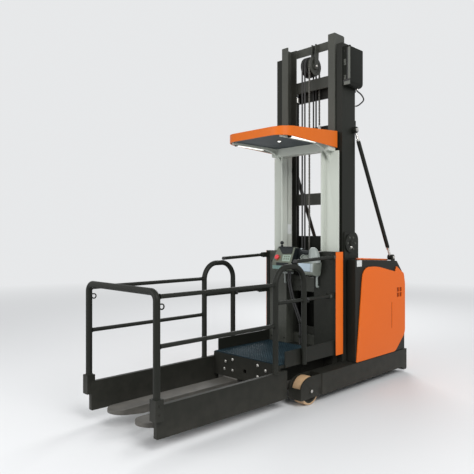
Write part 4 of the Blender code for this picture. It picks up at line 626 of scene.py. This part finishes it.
def leaf_chain(middles, ways):
    """Links at points along a path: plate corner = middle + along·way + out·(way × Y) + a step across. Four
    outer plates and three inner ones take turns, and a pin joins the links."""
    ways = unit(ways)
    outs = np.cross(ways, Y)
    along, out = PLATE_OUTLINE[None, :, :1], PLATE_OUTLINE[None, :, 1:]
    flat = middles[:, None] + along * ways[:, None] + out * outs[:, None]
    one = skinned(np.stack((flat[0], flat[0])))[1]
    links = []
    for chosen, rows in ((flat[0::2], OUTER_ROWS), (flat[1::2], INNER_ROWS)):
        starts = np.arange(len(chosen))[:, None, None] * 2 * chosen.shape[1]
        faces = [(f + starts).reshape(-1, f.shape[1]) for f in one]
        for y in rows:
            pair = np.stack([chosen + (y + step) * Y for step in (-PLATE_THICK / 2, PLATE_THICK / 2)], 1)
            links.append((pair.reshape(-1, 3), faces))
    pin = turned([(-8.8, 0), (-8.8, 2.6), (-8, 3.4), (8, 3.4), (8.8, 2.6), (8.8, 0)], (0, 0, 0), Y, 10)
    return joined(*links, repeated(pin, middles + ways * LINK_PITCH / 2))


def straight_chain(x, low, high):
    """Links of an upright run between two heights."""
    z = high - (np.arange(int((high - low) / LINK_PITCH)) + 0.5) * LINK_PITCH
    return leaf_chain(np.column_stack((np.full(len(z), x), np.zeros(len(z)), z)), np.tile(Z, (len(z), 1)))


front_x, rear_x, carriage_top, anchor = SHEAVE_X - PITCH_RADIUS, SHEAVE_X + PITCH_RADIUS, 1.0503, 2.6003
for name, x, low, body in (("front", front_x, carriage_top, "platform"), ("rear", rear_x, anchor, "chassis")):
    links = straight_chain(x, low, SHEAVE_Z)
    run = made_of(f"lift_chain_{name}", [links], chain_steel, f"chain_{name}", rides=False, stands_in=True)
    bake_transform(run)
turns = np.pi - (np.arange(14) + 0.5) / 14 * np.pi
over = leaf_chain(hub + on_circle(PITCH_RADIUS, turns), on_circle(1, turns - np.pi / 2))
made_of("lift_chain_wrap", [over], chain_steel, "mast_inner", slot="chain_steel")
anchors = [slab((rear_x - 0.006, rear_x + 0.028), (-0.016, 0.016), (2.552, 2.6)),
           turned([(0, 8), (50, 8)], (rear_x + 0.012, 0, 2.505), Z, 20)]
made_of("chain_anchor", anchors, zinc, "mast_outer", bevel=0.002)
made_of("chain_anchor_nuts", [hex_heads([(rear_x + 0.012, 0, 2.552)], -Z, 12)], zinc, "mast_outer")

# Mast hoses: two black rubber hoses run beside the chain, over the pulleys and down to clamps on both stages.
front_x, rear_x, CLAMP_HALF = SHEAVE_X - PULLEY_PITCH, SHEAVE_X + PULLEY_PITCH, 0.014
for name, x, low, body, count in (("front", front_x, 0.985, "platform", 30),
                                  ("rear", rear_x, 2.59, "chassis", 20)):
    hoses = [bar([(x, y, z) for z in np.linspace(low, SHEAVE_Z, count)], HOSE_RADIUS) for y in HOSE_ROWS]
    run = made_of(f"mast_hoses_{name}", hoses, black_rubber, "mast_inner", slot="drive_tyre", rides=False)
    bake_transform(run)
arch = hub + on_circle(PULLEY_PITCH, np.linspace(np.pi, 0, 25))
wraps = [bar(arch + y * Y, HOSE_RADIUS) for y in HOSE_ROWS]
made_of("mast_hoses_wrap", wraps, black_rubber, "mast_inner", slot="drive_tyre")
for name, node, x, z in (("mast", "mast_outer", (rear_x - 0.012, 0.821), (2.56, 2.592)),
                         ("carriage", "carriage", (0.597, front_x + 0.012), (0.972, 1.004))):
    clamps = [slab(x, (y - CLAMP_HALF, y + CLAMP_HALF), z) for y in HOSE_ROWS]
    made_of(f"{name}_hose_clamps", clamps, charcoal, node, bevel=0.002)

# Mast stays: a steel tube on each side with a threaded, zinc-plated rod end and lock nut at both ends, which
# brace the mast from the body's shoulders.


def eye(half, radius, chamfer, bore, centre, sides):
    """A bored eye round Y with chamfered rims."""
    rows = mirrored([(-half, bore), (-half, radius - chamfer), (chamfer - half, radius)])
    return turned(rows, centre, Y, sides, True)


for label, side in SIDES.items():
    top, foot = np.array((0.79, side * 0.4353, 2.5)), np.array((LUG_X, side * 0.46, LUG_Z))
    way, length = unit(foot - top), np.linalg.norm(foot - top)
    s = np.array((0.116, 0.119, 0.126, length - 0.126, length - 0.119, length - 0.116))
    tube = bar(top + s[:, None] * way, (0.013, 0.019, 0.02, 0.02, 0.019, 0.013), Y, 28)
    node = f"mast_stay_{label}"
    eyes = [eye(22, 30, 2.5, 11, end, 32) for end in (top, foot)]
    made_of(f"{node}_tube", [tube, *eyes], charcoal, node, stands_in=True)
    rods = []
    for start, direction in ((top, way), (foot, -way)):
        s = np.linspace(0.026, 0.122, 81)
        thread = 0.0118 - 0.0005 * (np.arange(81) % 2)
        rods.append(bar(start + s[:, None] * direction, thread, Y, 16))
        nut = [(0, 17.5), (1.5, 20.5), (12.5, 20.5), (14, 17.5)]
        rods.append(turned(nut, start + 0.1 * direction, direction, 6))
        rods.append(turned([(-22.5, 0), (-22.5, 11.2), (22.5, 11.2), (22.5, 0)], start, Y, 20))
    rods.append(hex_heads([top + side * 0.0221 * Y], side * Y, 14.5, 0.7))
    made_of(f"stay_rods_{label}", rods, zinc, node)

# Box on the mast's right side: a folded steel cover with a hinged front lip, and a hose that leaves it below
# and loops behind the mast to a fitting on the channel. A grey strip down the lip's outer edge is a painted
# highlight.
box_coat = coated("box_coat", (0.006, 0.007, 0.005), (0.035, 0.036, 0.03), 0.5, 0.1)
# Grey for the tab below the lip, and for a painted highlight down the lip's outer edge.
trim_grey = coated("trim_grey", (0.1, 0.106, 0.092), (0.2, 0.2, 0.19), 0.4, 0.3)
softened("mast_side_box", box_coat, 0.004, 3)
screws = [hex_heads([(0.612, -0.43, z) for z in (2.985, 3.11, 3.235)], -X, 7, 0.6)]
made_of("side_box_screws", screws, charcoal, "mast_side_box")
LIP_REAR, LIP_SPAN, KNUCKLE = 0.613, (2.958, 3.262), (-0.45, -0.426)
for name, paint, bevel, blocks in (
        ("knuckles", mast_steel, 0.002, ((0.6085, KNUCKLE, (2.958, 3.0)), (0.6085, KNUCKLE, (3.095, 3.155)))),
        # The tall grey strip is a painted highlight on the lip's outer edge, and the short one is a tab.
        ("trim", trim_grey, 0.002, ((0.607, (-0.4975, -0.474), LIP_SPAN),
                                    (0.6065, (-0.496, -0.428), (2.906, 2.94)))),
        ("seams", black_rubber, 0, ((0.6105, (-0.4985, -0.418), (2.942, 2.956)),
                                    (0.6105, (-0.471, -0.46), LIP_SPAN)))):
    strips = [slab((x, LIP_REAR), y, z) for x, y, z in blocks]
    made_of(f"side_box_{name}", strips, paint, "mast_side_box", bevel=bevel)


def smoothed(points, steps=8):
    """A smooth curve through points: on each stretch b to c the cubic that leaves with slope (c - a)/2 and
    arrives with slope (d - b)/2."""
    rows = np.asarray(points, float)
    rows = np.vstack((2 * rows[0] - rows[1], rows, 2 * rows[-1] - rows[-2]))
    a, b, c, d = rows[:-3, None], rows[1:-2, None], rows[2:-1, None], rows[3:, None]
    t = (np.arange(steps) / steps)[None, :, None]
    run = 0.5 * (2 * b + (c - a) * t + (2 * a - 5 * b + 4 * c - d) * t**2 + (3 * b - 3 * c + d - a) * t**3)
    return np.vstack((run.reshape(-1, 3), rows[-2]))


LOOP_Y, LOOP_END, LOOP_TOP, MAST_REAR = -0.44197, -0.396, 2.9057, 0.8223
bends = np.array([(-0.0053, LOOP_Y, 0), (-0.0053, LOOP_Y, -0.0129), (-0.0053, LOOP_Y, -0.0221),
                  (0.09, LOOP_Y * 0.97, -0.03875), (0.15, LOOP_Y * 0.94, -0.0775), (0.0975, LOOP_END, -0.13175),
                  (0.0375, LOOP_END, -0.155), (0.015, LOOP_END, -0.155), (0, LOOP_END, -0.155)])
route = smoothed(bends + (MAST_REAR, 0, LOOP_TOP))
made_of("mast_loop_hose", [bar(route, 0.007, Y, 16)], black_rubber, "mast_hose", stands_in=True)
fitting = [(0, 7.2), (0, 11.5), (10, 11.5), (10.5, 9.5), (24, 9.5), (26, 7.2)]
ferrules = [turned([(0, 7.2), (0, 10), (-18, 10), (-20, 7.2)], route[0], Z, 20, True),
            turned(fitting, route[-1], X, 20, True)]
made_of("mast_loop_ferrules", ferrules, zinc, "mast_hose", slot="drive_tyre")

# Picking platform: a welded steel deck with toe boards and an upright apron in front, which is bolted to the
# two fork roots. A studded blue-grey rubber mat lies on it.
softened("platform_deck", charcoal, 0.003)
APRON_X, MAT_LOW, STUD_FOOT, STUD_PITCH = -0.31, 0.3703, 0.3763, 0.029
spots = [(APRON_X, side * y, z) for side in BOTH
         for y, z in ((0.157, 0.33), (0.251, 0.3), (0.157, 0.232), (0.265, 0.232))]
made_of("apron_bolts", [hex_heads(spots, -X, 10.5, 0.7)], zinc, "platform_deck")
rim = [(-1, 20.5), (1.5, 20.5), (1.5, 26.5), (-1, 26.5)]
made_of("apron_hole_rim", [turned(rim, (APRON_X, 0, 0.25), -X, 28, True)], charcoal, "platform_deck")
mat_rubber = plastic("mat_rubber", (0.007, 0.016, 0.022), (0.013, 0.027, 0.036), 0.6, 0.04, Drift=0.7,
                     Grain=420.0, bump=0.1, Specular_IOR_Level=0.06)
stud_rubber = plastic("stud_rubber", (0.01, 0.024, 0.032), (0.042, 0.078, 0.096), 0.45, 0.04, Drift=1.2,
                      Grain=420.0, bump=0.1, Specular_IOR_Level=0.12)
outline = [(-0.306, -0.4057), (-0.246, -0.4057), (-0.246, -0.4104), (0.4597, -0.4104), (0.4597, 0.4104),
           (-0.246, 0.4104), (-0.246, 0.4057), (-0.306, 0.4057)]
made_of("mat_sheet", [plate(outline, MAT_LOW, 0.3765)], mat_rubber, "floor_mat", bevel=0.0015, stands_in=True)
grid_x, grid_y = np.meshgrid(np.arange(-0.288, 0.448, STUD_PITCH), np.arange(-13, 14) * STUD_PITCH)
spots = np.column_stack((grid_x.ravel(), grid_y.ravel(), np.full(grid_x.size, STUD_FOOT)))
stud = turned([(0, 9.8), (2.4, 8.8), (3.5, 6.2)], (0, 0, 0), Z, 10)
made_of("mat_studs", [repeated(stud, spots)], stud_rubber, "floor_mat", smooth=60)

# Forks: two box-section blades welded from bent plate, rounded at the tips and worn bright along their edges,
# where a painted highlight lightens them too.
fork_steel = coated("fork_coat", (0.022, 0.023, 0.02), (0.16, 0.155, 0.145), 0.46, 0.5, Wear=0.9, Dust=0.5,
                    Drift=0.25, bump=0.05)
for label in SIDES:
    softened(f"fork_{label}", fork_steel, 0.005, 3)

# Railing: round tube with welded joints, sprayed with the frame. Two straight rails each side run from the
# front frame's posts to a bent hoop, and the posts stand in sockets at the ends of the skirts.


def bent(corners, radius, steps=10):
    """A path whose inner corners are arcs: the arc's centre plus both end spokes, weighted by
    sin((1 - s)·turn) and sin(s·turn) over sin(turn)."""
    corners = np.asarray(corners, float)
    back, ahead = unit(corners[:-2] - corners[1:-1]), unit(corners[2:] - corners[1:-1])
    half = np.arccos(np.clip((back * ahead).sum(1, keepdims=True), -1, 1)) / 2
    centre = corners[1:-1] + unit(back + ahead) * radius / np.sin(half)
    begin, end = (corners[1:-1] + way * radius / np.tan(half) - centre for way in (back, ahead))
    turn, s = (np.pi - 2 * half)[:, None], np.linspace(0, 1, steps + 1)[None, :, None]
    spokes = (np.sin((1 - s) * turn) * begin[:, None] + np.sin(s * turn) * end[:, None]) / np.sin(turn)
    return np.vstack((corners[0], (centre[:, None] + spokes).reshape(-1, corners.shape[1]), corners[-1]))


def collar(centre, along, radius):
    """Weld bead round a tube, in millimetres: a small circle turned about the tube's axis."""
    a = full_turn(9)
    return turned(np.column_stack((3.5 * np.sin(a), radius + 3.5 * np.cos(a))), centre, along, 32, True)


RAIL_Y, RAIL_RADIUS, POST_X = 0.445, 0.016, -1.6
HOOP_FRONT, HOOP_REAR, HOOP_TOP, HOOP_BAR = -0.4, -0.025, 1.203, 0.907
for label, side in SIDES.items():
    at = side * RAIL_Y
    softened(f"skirt_{label}", charcoal, 0.0035, 3)
    for name, z in (("top_rail", 1.06), ("mid_rail", 0.724)):
        tube = bar([(x, at, z) for x in (-1.5747, -1.0, -0.4243)], RAIL_RADIUS, Y, 28)
        beads = [collar((x, at, z), X, 16.5) for x in (-1.5735, -0.4255)]
        made_of(f"{name}_{label}_tube", [tube, *beads], charcoal, f"{name}_{label}", stands_in=True)
    posts = ((HOOP_FRONT, 0.3263), (HOOP_FRONT, HOOP_TOP), (HOOP_REAR, HOOP_TOP), (HOOP_REAR, 0.3453))
    loop = bent([(x, at, z) for x, z in posts], 0.155, 20)
    rest = slab((HOOP_REAR, HOOP_REAR + 0.059), (at - 0.014, at + 0.014), (0.8807, 0.8905))
    cross = bar([(x, at, HOOP_BAR) for x in (HOOP_FRONT, -0.2, HOOP_REAR)], RAIL_RADIUS, Y, 28)
    beads = [collar((x, at, HOOP_BAR), X, 16.5) for x in (HOOP_FRONT + 0.0235, HOOP_REAR - 0.0235)]
    parts = [bar(loop, 0.024, Y, 32), cross, rest, *beads, collar((HOOP_FRONT, at, 0.3285), Z, 24.5)]
    made_of(f"hoop_{label}_tube", parts, charcoal, f"hoop_{label}", stands_in=True)
posts = ((RAIL_Y, 0.3783), (RAIL_Y, 1.09), (-RAIL_Y, 1.09), (-RAIL_Y, 0.3783))
parts = [bar(bent([(POST_X, y, z) for y, z in posts], 0.06, 14), 0.025, X, 32)]
curl = on_circle(0.018, np.linspace(np.pi / 2, -5 * np.pi / 6, 15)) + 0.043 * X
for side in BOTH:
    hook = np.vstack((0.018 * Z, curl)) + (POST_X, side * RAIL_Y, 0.99)
    parts += [bar(hook, 0.005, Y, 14), collar((POST_X, side * RAIL_Y, 0.3805), Z, 25.5)]
made_of("front_frame_tube", parts, charcoal, "front_frame", stands_in=True)
pinch = [hex_heads([(POST_X, side * 0.479, z) for z in (0.275, 0.335)], side * Y, 8, 0.8) for side in BOTH]
made_of("socket_screws", pinch, charcoal, "front_frame")

# Entry gates: a straight tube on a bored eye, two each side, that the operator lifts to step in. Their free
# ends have rubber caps and their pins a lock nut.
cap = [(0, 0), (0, 12.5), (3, 15.5), (6, 16.25), (28, 16.25), (29, 15.8), (29, 0)]
for label, side in SIDES.items():
    for name, free_x, free_z, eye_x, eye_z in (("gate_top", -0.164, HOOP_TOP + 0.0405, 0.41, 1.2653),
                                               ("gate_mid", 0.005, HOOP_BAR, 0.35, HOOP_BAR)):
        node = f"{name}_{label}"
        free, pin = np.array((free_x, side * RAIL_Y, free_z)), np.array((eye_x, side * RAIL_Y, eye_z))
        way = unit(pin - free)
        tube = bar([free + 0.004 * way, (free + pin) / 2, pin - 0.018 * way], RAIL_RADIUS, Y, 28)
        parts = [tube, eye(16.5, 24, 2, 9, pin, 36), collar(pin - 0.0235 * way, way, 16)]
        made_of(f"{node}_bar", parts, charcoal, node, stands_in=True)
        made_of(f"{node}_cap", [turned(cap, free, way, 28)], black_rubber, node, slot="drive_tyre")
        nut = hex_heads([pin + side * 0.0166 * Y], side * Y, 11.5, 0.7)
        made_of(f"{node}_nut", [nut], mast_steel, f"column_{label}", slot="chain_steel")

# Rear wall of the compartment: pressed charcoal bulkheads beside the mast, and narrow columns whose outer
# faces carry a flat orange cover. The left bulkhead is lifted to the lighter mast coat as painted light.
# Painted light: the left bulkhead takes the lighter mast coat, and the right one keeps the charcoal.
for label, paint in (("left", mast_steel), ("right", charcoal)):
    softened(f"bulkhead_{label}", paint, 0.004, 3)
    softened(f"column_{label}", charcoal, 0.003)
    softened(f"column_cover_{label}", orange, 0.0009)
spots = [(0.472, side * y, z) for side in BOTH
         for y, z in ((0.205, 0.42), (0.375, 0.42), (0.205, 1.02), (0.375, 1.2))]
made_of("bulkhead_screws", [hex_heads(spots, -X, 6.5, 0.6)], charcoal, "bulkhead_left")

# Overhead guard: two pale folded posts with a header and curved arms, under an orange roof shell with a dark
# lining. Two white bars that glow and two dome lamps are fixed under it, and a blank plate marks the left post.
pale = coated("pale_coat", (0.47, 0.495, 0.445), (0.58, 0.6, 0.55), 0.42, 0.3, Wear=0.15, Dust=0.05)
roof_orange = coated("roof_coat", (0.56, 0.118, 0.01), (0.74, 0.24, 0.05), 0.36, Wear=0.12, Dust=0.05,
                     Drift=0.1, bump=0.03)
lining = plastic("roof_lining", (0.04, 0.052, 0.058), (0.075, 0.09, 0.1), 0.6, Grain=500.0, bump=0.06)
lamp_glass = plastic("lamp_glass", (0.86, 0.87, 0.84), (0.8, 0.81, 0.79), 0.25, Grain=600.0, bump=0.02,
                     Emission_Color=(1.0, 0.98, 0.92), Emission_Strength=1.1)
softened("guard_frame", pale, 0.004, 3)
LAMP_TOP = 2.3545
flanges, bodies, glasses, strips = [], [], [], []
bracket = [(-0.06, 2.339), (0.56, 2.3125), (0.56, LAMP_TOP), (-0.06, LAMP_TOP)]
tube = bent([(0.318, LAMP_TOP), (0.318, 2.331), (0.35, 2.331), (0.35, LAMP_TOP)], 0.006, 5)
for side in BOTH:
    flanges.append(slab((0.57, 0.645), (side * 0.243, side * 0.259), (1.314, 2.29)))
    strips.append(plate(bracket, side * 0.359, side * 0.3624, 1))
    # A white bar that glows, along each side under the lining.
    glasses.append(plate(tube * (side, 1), -0.08, 0.3, 0))
    for x in (-0.09, 0.3):
        bodies.append(slab((x, x + 0.01), (side * 0.315, side * 0.353), (2.328, 2.3548)))
a = np.linspace(0, np.pi / 2, 7)
dome = np.column_stack((14 * np.sin(a), 17 * np.cos(a)))
for x, y in ((0.08, -0.07), (0.13, -0.274)):
    glasses.append(turned(dome, (x, y, 2.3525), -Z, 24))
    bodies.append(turned([(-2, 0), (-2, 21), (3, 21), (4, 18), (4, 0)], (x, y, 2.353), -Z, 28))
made_of("guard_flanges", flanges, pale, "guard_frame", bevel=0.003)
blank = slab((0.575, 0.632), (0.2422, 0.2432), (1.482, 1.582))
made_of("guard_blank_plate", [blank], plate_white, "guard_frame")
softened("roof_cover", roof_orange, 0.006, 4)
softened("roof_lining", lining, 0.002)
made_of("roof_lamp_bodies", bodies, charcoal, "roof_lining", bevel=0.001)
made_of("roof_side_strips", strips, pale, "roof_lining")
made_of("roof_lamp_glasses", glasses, lamp_glass, "roof_lining")

# Carriage: a welded frame that runs in the inner mast on four steel rollers. The lift chain is anchored to it,
# with four bolts on each side.
softened("carriage", mast_steel, 0.003)
rows = roller_rows(55, 60.5, 62.7, 30, 27, 14, 12)
rollers = [turned(rows, (0.665, side * 0.319, z), side * Y, 44) for side in BOTH for z in (0.41, 0.96)]
made_of("carriage_rollers", rollers, roller_steel, "carriage", slot="chain_steel")
spots = [(0.583, side * y, z) for side in BOTH for y in (0.09, 0.145) for z in (0.94, 1.01)]
made_of("carriage_bolts", [hex_heads(spots, -X, 9, 0.7)], mast_steel, "carriage")

# Left console: a green-grey moulding with a sloping face under a dark visor, and a pale teal lip. It has a
# red emergency button in a brown collar, a pale key panel, and the lift lever in a bellows on its top tray.
green_grey = plastic("green_grey_moulding", (0.095, 0.108, 0.08), (0.15, 0.165, 0.13), 0.45, Drift=0.6,
                     bump=0.05)
teal = plastic("teal_moulding", (0.13, 0.225, 0.205), (0.2, 0.3, 0.28), 0.42, Drift=0.5, bump=0.05)
key_sheet = plastic("key_sheet", (0.24, 0.31, 0.255), (0.32, 0.38, 0.33), 0.35, Drift=0.6, Grain=260.0,
                    bump=0.02)
black_plastic = plastic("black_moulding", (0.008, 0.011, 0.012), (0.022, 0.026, 0.028), 0.38, bump=0.05,
                        Specular_IOR_Level=0.3)
button_red = plastic("button_red", (0.6, 0.035, 0.045), (0.72, 0.12, 0.12), 0.28, bump=0.01)
collar_brown = plastic("collar_brown", (0.16, 0.085, 0.035), (0.24, 0.15, 0.07), 0.4, bump=0.03)


def outlined(corners, radii, steps=5):
    """Closed outline in two coordinates whose corners are arcs, by the same spokes as a bent path."""
    corners = np.asarray(corners, float)
    after = np.roll(np.arange(len(corners)), -1)
    return np.vstack([bent(corners[[i - 1, i, after[i]]], r, steps)[1:-1] for i, r in enumerate(radii)])


BACK, FRONT, EDGE, CREST, FOOT = 0.4717, 0.3497, 1.2, 1.345, 1.118
LEFT_END, RIGHT_END, END_LEAN = 0.272, 0.014, 0.17
panel = outlined([(BACK, FOOT), (BACK, CREST), (0.4117, CREST), (FRONT, EDGE), (0.36, FOOT)],
                 (0.002, 0.006, 0.014, 0.016, 0.02))
shell = plate(panel, RIGHT_END, LEFT_END - END_LEAN * (panel[:, 1] - FOOT), 1)
made_of("console_left_shell", [shell], green_grey, "console_left", bevel=0.007, segments=3, stands_in=True)
slope = np.array((0.062, 0.0, 0.145))
up_face, outward = unit(slope), unit(np.array((-slope[2], 0.0, slope[0])))
corner = np.array((FRONT, 0.0, EDGE))


def on_face(rows, low, high):
    """A plate on the sloping face: its corners are (distance across, distance up the slope)."""
    rows = np.asarray(rows, float)
    face = corner + rows[:, :1] * Y + rows[:, 1:] * up_face
    return skinned(np.stack([face + low * outward, face + high * outward]))


TRAY = (1.3435, 1.353)
visor = [(0.213, 0.153), (0.031, 0.153), (0.031, 0.093), (0.142, 0.086), (0.156, 0.094)]
# A black plate on the console's right end face makes that face dark.
end_plate = [(0.469, 1.122), (0.469, 1.341), (0.418, 1.341), (0.357, 1.2), (0.365, 1.122)]
backboard = slab((0.46, 0.47), (-0.058, 0.0125), (1.122, 1.338))
black_parts = [on_face(visor, -0.002, 0.006), plate(end_plate, 0.0115, 0.016, 1), backboard]
for x, y, z in (((0.404, 0.469), (0.05, 0.214), (1.3435, 1.3475)), ((0.401, 0.406), (0.046, 0.218), TRAY),
                ((0.465, 0.4705), (0.046, 0.218), TRAY), ((0.401, 0.4705), (0.046, 0.051), TRAY),
                ((0.401, 0.4705), (0.213, 0.218), TRAY)):
    black_parts.append(slab(x, y, z))
slot = outlined([(0.362, 1.1665), (0.362, 1.1945), (0.3482, 1.1945), (0.35, 1.1665)], (0.001,) * 4)
black_parts.append(plate(slot, 0.046, 0.205, 1))
made_of("console_left_tray", black_parts, black_plastic, "console_left", bevel=0.001)
lip = plate([(0.364, 1.129), (0.358, 1.164), (0.352, 1.164), (0.3566, 1.129)], 0.046, 0.258, 1)
made_of("console_left_lip", [lip], teal, "console_left", bevel=0.002)
keys_plate = on_face([(0.142, 0.078), (0.034, 0.078), (0.034, 0.01), (0.132, 0.01)], -0.001, 0.0022)
made_of("key_panel", [keys_plate], key_sheet, "console_left", bevel=0.0008)
button_foot = corner + 0.197 * Y + 0.29 * slope
a = np.linspace(0, np.pi / 2, 6)
dome = np.column_stack((21 + 9 * np.sin(a), 16.5 + 8.5 * np.cos(a)))
rows = np.vstack(([(4, 0), (4, 14), (15, 14), (17, 23.5), (19, 25)], dome, [(30.3, 6), (30.3, 0)]))
made_of("emergency_button", [turned(rows, button_foot, outward, 36)], button_red, "console_left")
rows = [(-2, 0), (-2, 33), (2, 33), (5, 29), (5, 0)]
made_of("button_collar", [turned(rows, button_foot, outward, 36)], collar_brown, "console_left")
knob_foot = np.array((0.4417, 0.207, 1.3475))
fold = np.arange(13)
bellows = np.column_stack((1.8 * fold, 16.5 - 0.7 * fold + 1.4 * (fold % 2)))
a = np.linspace(-np.pi / 2, np.pi / 2, 13)
knob = np.column_stack((43.5 + 18.5 * np.sin(a), 19 * np.cos(a)))
lever = [turned(rows, knob_foot, Z, sides) for rows, sides in (
    (np.vstack(([(0, 0)], bellows, [(22, 0)])), 28), ([(18, 5.5), (46, 5)], 16), (knob, 32))]
made_of("lift_lever", lever, black_plastic, "console_left")
rows = [(1.5, 0), (1.5, 7.2), (4.5, 6.8), (5.5, 5.2), (5.5, 0)]
keys = [turned(rows, corner + y * Y + s * up_face, outward, 20)
        for s in (0.06, 0.034) for y in (0.056, 0.083, 0.11)]
made_of("panel_keys", keys, green_grey, "console_left")

# Right console: a grey box with a lit display across its front. On it stand a moulded bowl with a rolled rim,
# the dark hand grip over the bowl, and a worn grey hood that shields the hand.
grey_moulding = plastic("grey_moulding", (0.185, 0.205, 0.175), (0.25, 0.27, 0.235), 0.45, Drift=0.5)
rim_grey = plastic("rim_moulding", (0.19, 0.215, 0.19), (0.27, 0.29, 0.26), 0.42, Drift=0.5)
pale_moulding = plastic("pale_moulding", (0.34, 0.385, 0.385), (0.44, 0.48, 0.48), 0.4, Drift=0.5)
worn_moulding = plastic("worn_moulding", (0.225, 0.25, 0.235), (0.3, 0.33, 0.315), 0.4, Drift=0.5)
display_glass = plastic("display_glass", (0.22, 0.27, 0.3), (0.46, 0.54, 0.6), 0.12, Drift=1.6, Grain=120.0,
                        bump=0.0, Emission_Color=(0.62, 0.76, 0.9), Emission_Strength=0.16)
BOX_TOP, BOX_OUTER, BOX_INNER, SCREEN_FACE = 1.205, -0.268, -0.064, 0.3466
lower = outlined([(BACK, 1.08), (BACK, BOX_TOP), (FRONT, BOX_TOP), (FRONT, 1.08)],
                 (0.002, 0.003, 0.014, 0.045), 8)
drop = BOX_TOP - lower[:, 1]
box = plate(lower, BOX_OUTER + 0.12 * drop, BOX_INNER - 0.36 * drop, 1)
made_of("console_right_box", [box], grey_moulding, "console_right", bevel=0.01, segments=4, stands_in=True)
bezel = plate([(-0.074, 1.2015), (-0.243, 1.2015), (-0.24, 1.118), (-0.104, 1.118)], 0.3478, 0.356, 0)
screen = plate([(-0.08, 1.1985), (-0.226, 1.1985), (-0.223, 1.1215), (-0.106, 1.1215)], SCREEN_FACE, 0.35, 0)
strip = plate([(-0.229, 1.2), (-0.254, 1.2), (-0.251, 1.118), (-0.226, 1.118)], SCREEN_FACE, 0.35, 0)
made_of("display_bezel", [bezel], black_plastic, "console_right", bevel=0.002)
made_of("display_screen", [screen], display_glass, "console_right", bevel=0.001)
made_of("display_frame", [strip], pale_moulding, "console_right", bevel=0.001)
BOWL_MIDDLE = np.array((0.402, -0.152, 1.258))
turn = full_turn(40)[:, None]


def bowl(*rings):
    """Ellipses round the bowl's middle: x = depth·cos a, y = width·sin a, z = height + tilt·cos a."""
    return skinned(np.stack([BOWL_MIDDLE + np.hstack((depth * np.cos(turn), width * np.sin(turn),
                                                      height + tilt * np.cos(turn)))
                             for width, depth, height, tilt in rings]))


wall = bowl((0.06, 0.032, -0.054, 0.0), (0.07, 0.038, -0.03, 0.01), (0.082, 0.045, -0.006, 0.022),
            (0.086, 0.048, 0.005, 0.026), (0.081, 0.043, 0.01, 0.027), (0.074, 0.037, 0.004, 0.025))
made_of("grip_bowl", [wall], rim_grey, "console_right", smooth=60)
well = bowl((0.0735, 0.0365, 0.0, 0.024), (0.073, 0.036, 0.0055, 0.0245), (0.04, 0.018, 0.001, 0.012))
s = np.linspace(0, np.pi, 13)
path = np.column_stack((0.432 + 0.004 * np.cos(s), 0.062 * np.cos(s) - 0.106, 1.316 - 0.014 * np.sin(s)))
grip = bar(path, 0.0215 * np.sqrt(np.sin(0.12 + 0.92 * s)), Z, 24)
stem = turned([(-62, 20), (-50, 16), (-10, 17), (0, 15)], (0.432, -0.12, 1.31), Z, 24)
made_of("hand_grip", [well, grip, stem], black_plastic, "console_right", smooth=50)
thumb = turned([(18, 0), (18, 9), (22.5, 8), (24.5, 5), (24.5, 0)], (0.43, -0.062, 1.318), (-0.5, 0, 0.9), 20)
made_of("grip_button", [thumb], pale_moulding, "console_right")
HOOD_MIDDLE, HOOD_REACH = np.array((0.415, -0.226, 1.204)), np.array((0.052, 0.062, 0.148))
rise, turn = np.radians([0, 12, 24, 36, 48, 60, 70, 79, 86])[:, None], turn.T
bulge, lean = np.cos(rise) ** 0.66, 0.3 * np.sin(rise) ** 2
dome = np.stack((bulge * np.cos(turn), bulge * np.sin(turn) + lean, np.sin(rise) + 0 * turn), -1)
made_of("grip_hood", [skinned(HOOD_MIDDLE + HOOD_REACH * dome)], worn_moulding, "console_right", smooth=60)

# Grab bars and hoses below the consoles: worn grey bars on short feet, and two hoses that come down from the
# left console through clips to the deck.
bars = []
for radius, across, path in (
        (0.01, Z, [(0.472, 0.21, 1.09), (0.45, 0.21, 1.09), (0.45, 0.085, 1.09), (0.47, 0.085, 1.09)]),
        (0.0075, Y, [(0.472, 0.176, 0.985), (0.452, 0.176, 0.985), (0.452, 0.176, 1.088)]),
        (0.011, Y, [(0.472, -0.228, 0.97), (0.448, -0.228, 0.97), (0.448, -0.228, 1.076),
                    (0.472, -0.228, 1.076)])):
    bars.append(bar(bent(path, 0.01, 6), radius, across, 16))
made_of("grab_bars", bars, worn_moulding, "console_left")
LOOM_TOP, LOOM_FOOT, LOOM_DROP = 1.0797, 0.3703, 0.7094
BOOT_X, DECK_X, HOSE_SHIFT = 0.4447, 0.5077, 0.09
CLIP_LEVELS, CLIP_HEIGHT = (0.44124, 0.58312), 0.024
boot = [(0, 9.5), (0, 11.5), (10, 12.5), (40, 15), (40.5, 9.5)]
boots = []
for number, y in (("front", 0.098), ("rear", 0.122)):
    high = [(BOOT_X, y, LOOM_TOP - LOOM_DROP * share) for share in (0, 1 / 16, 1 / 8)]
    middle = [(BACK, y - 0.0315, LOOM_TOP - LOOM_DROP * 0.4),
              (DECK_X, y - HOSE_SHIFT, LOOM_TOP - LOOM_DROP * 0.7)]
    low = [(DECK_X, y - HOSE_SHIFT, LOOM_FOOT + LOOM_DROP * share) for share in (1 / 8, 1 / 16, 0)]
    hose = bar(smoothed(high + middle + low), 0.009, Y, 16)
    made_of(f"console_hose_{number}", [hose], black_rubber, "console_loom", stands_in=number == "front")
    boots.append(turned(boot, (BOOT_X, y, LOOM_TOP - 0.004), Z, 24, True))
clips = [slab((0.4957, 0.5197), (-0.004, 0.044), (z, z + CLIP_HEIGHT)) for z in CLIP_LEVELS]
made_of("console_hose_boots", boots, black_rubber, "console_loom")
made_of("console_hose_clips", clips, charcoal, "console_loom", bevel=0.003)
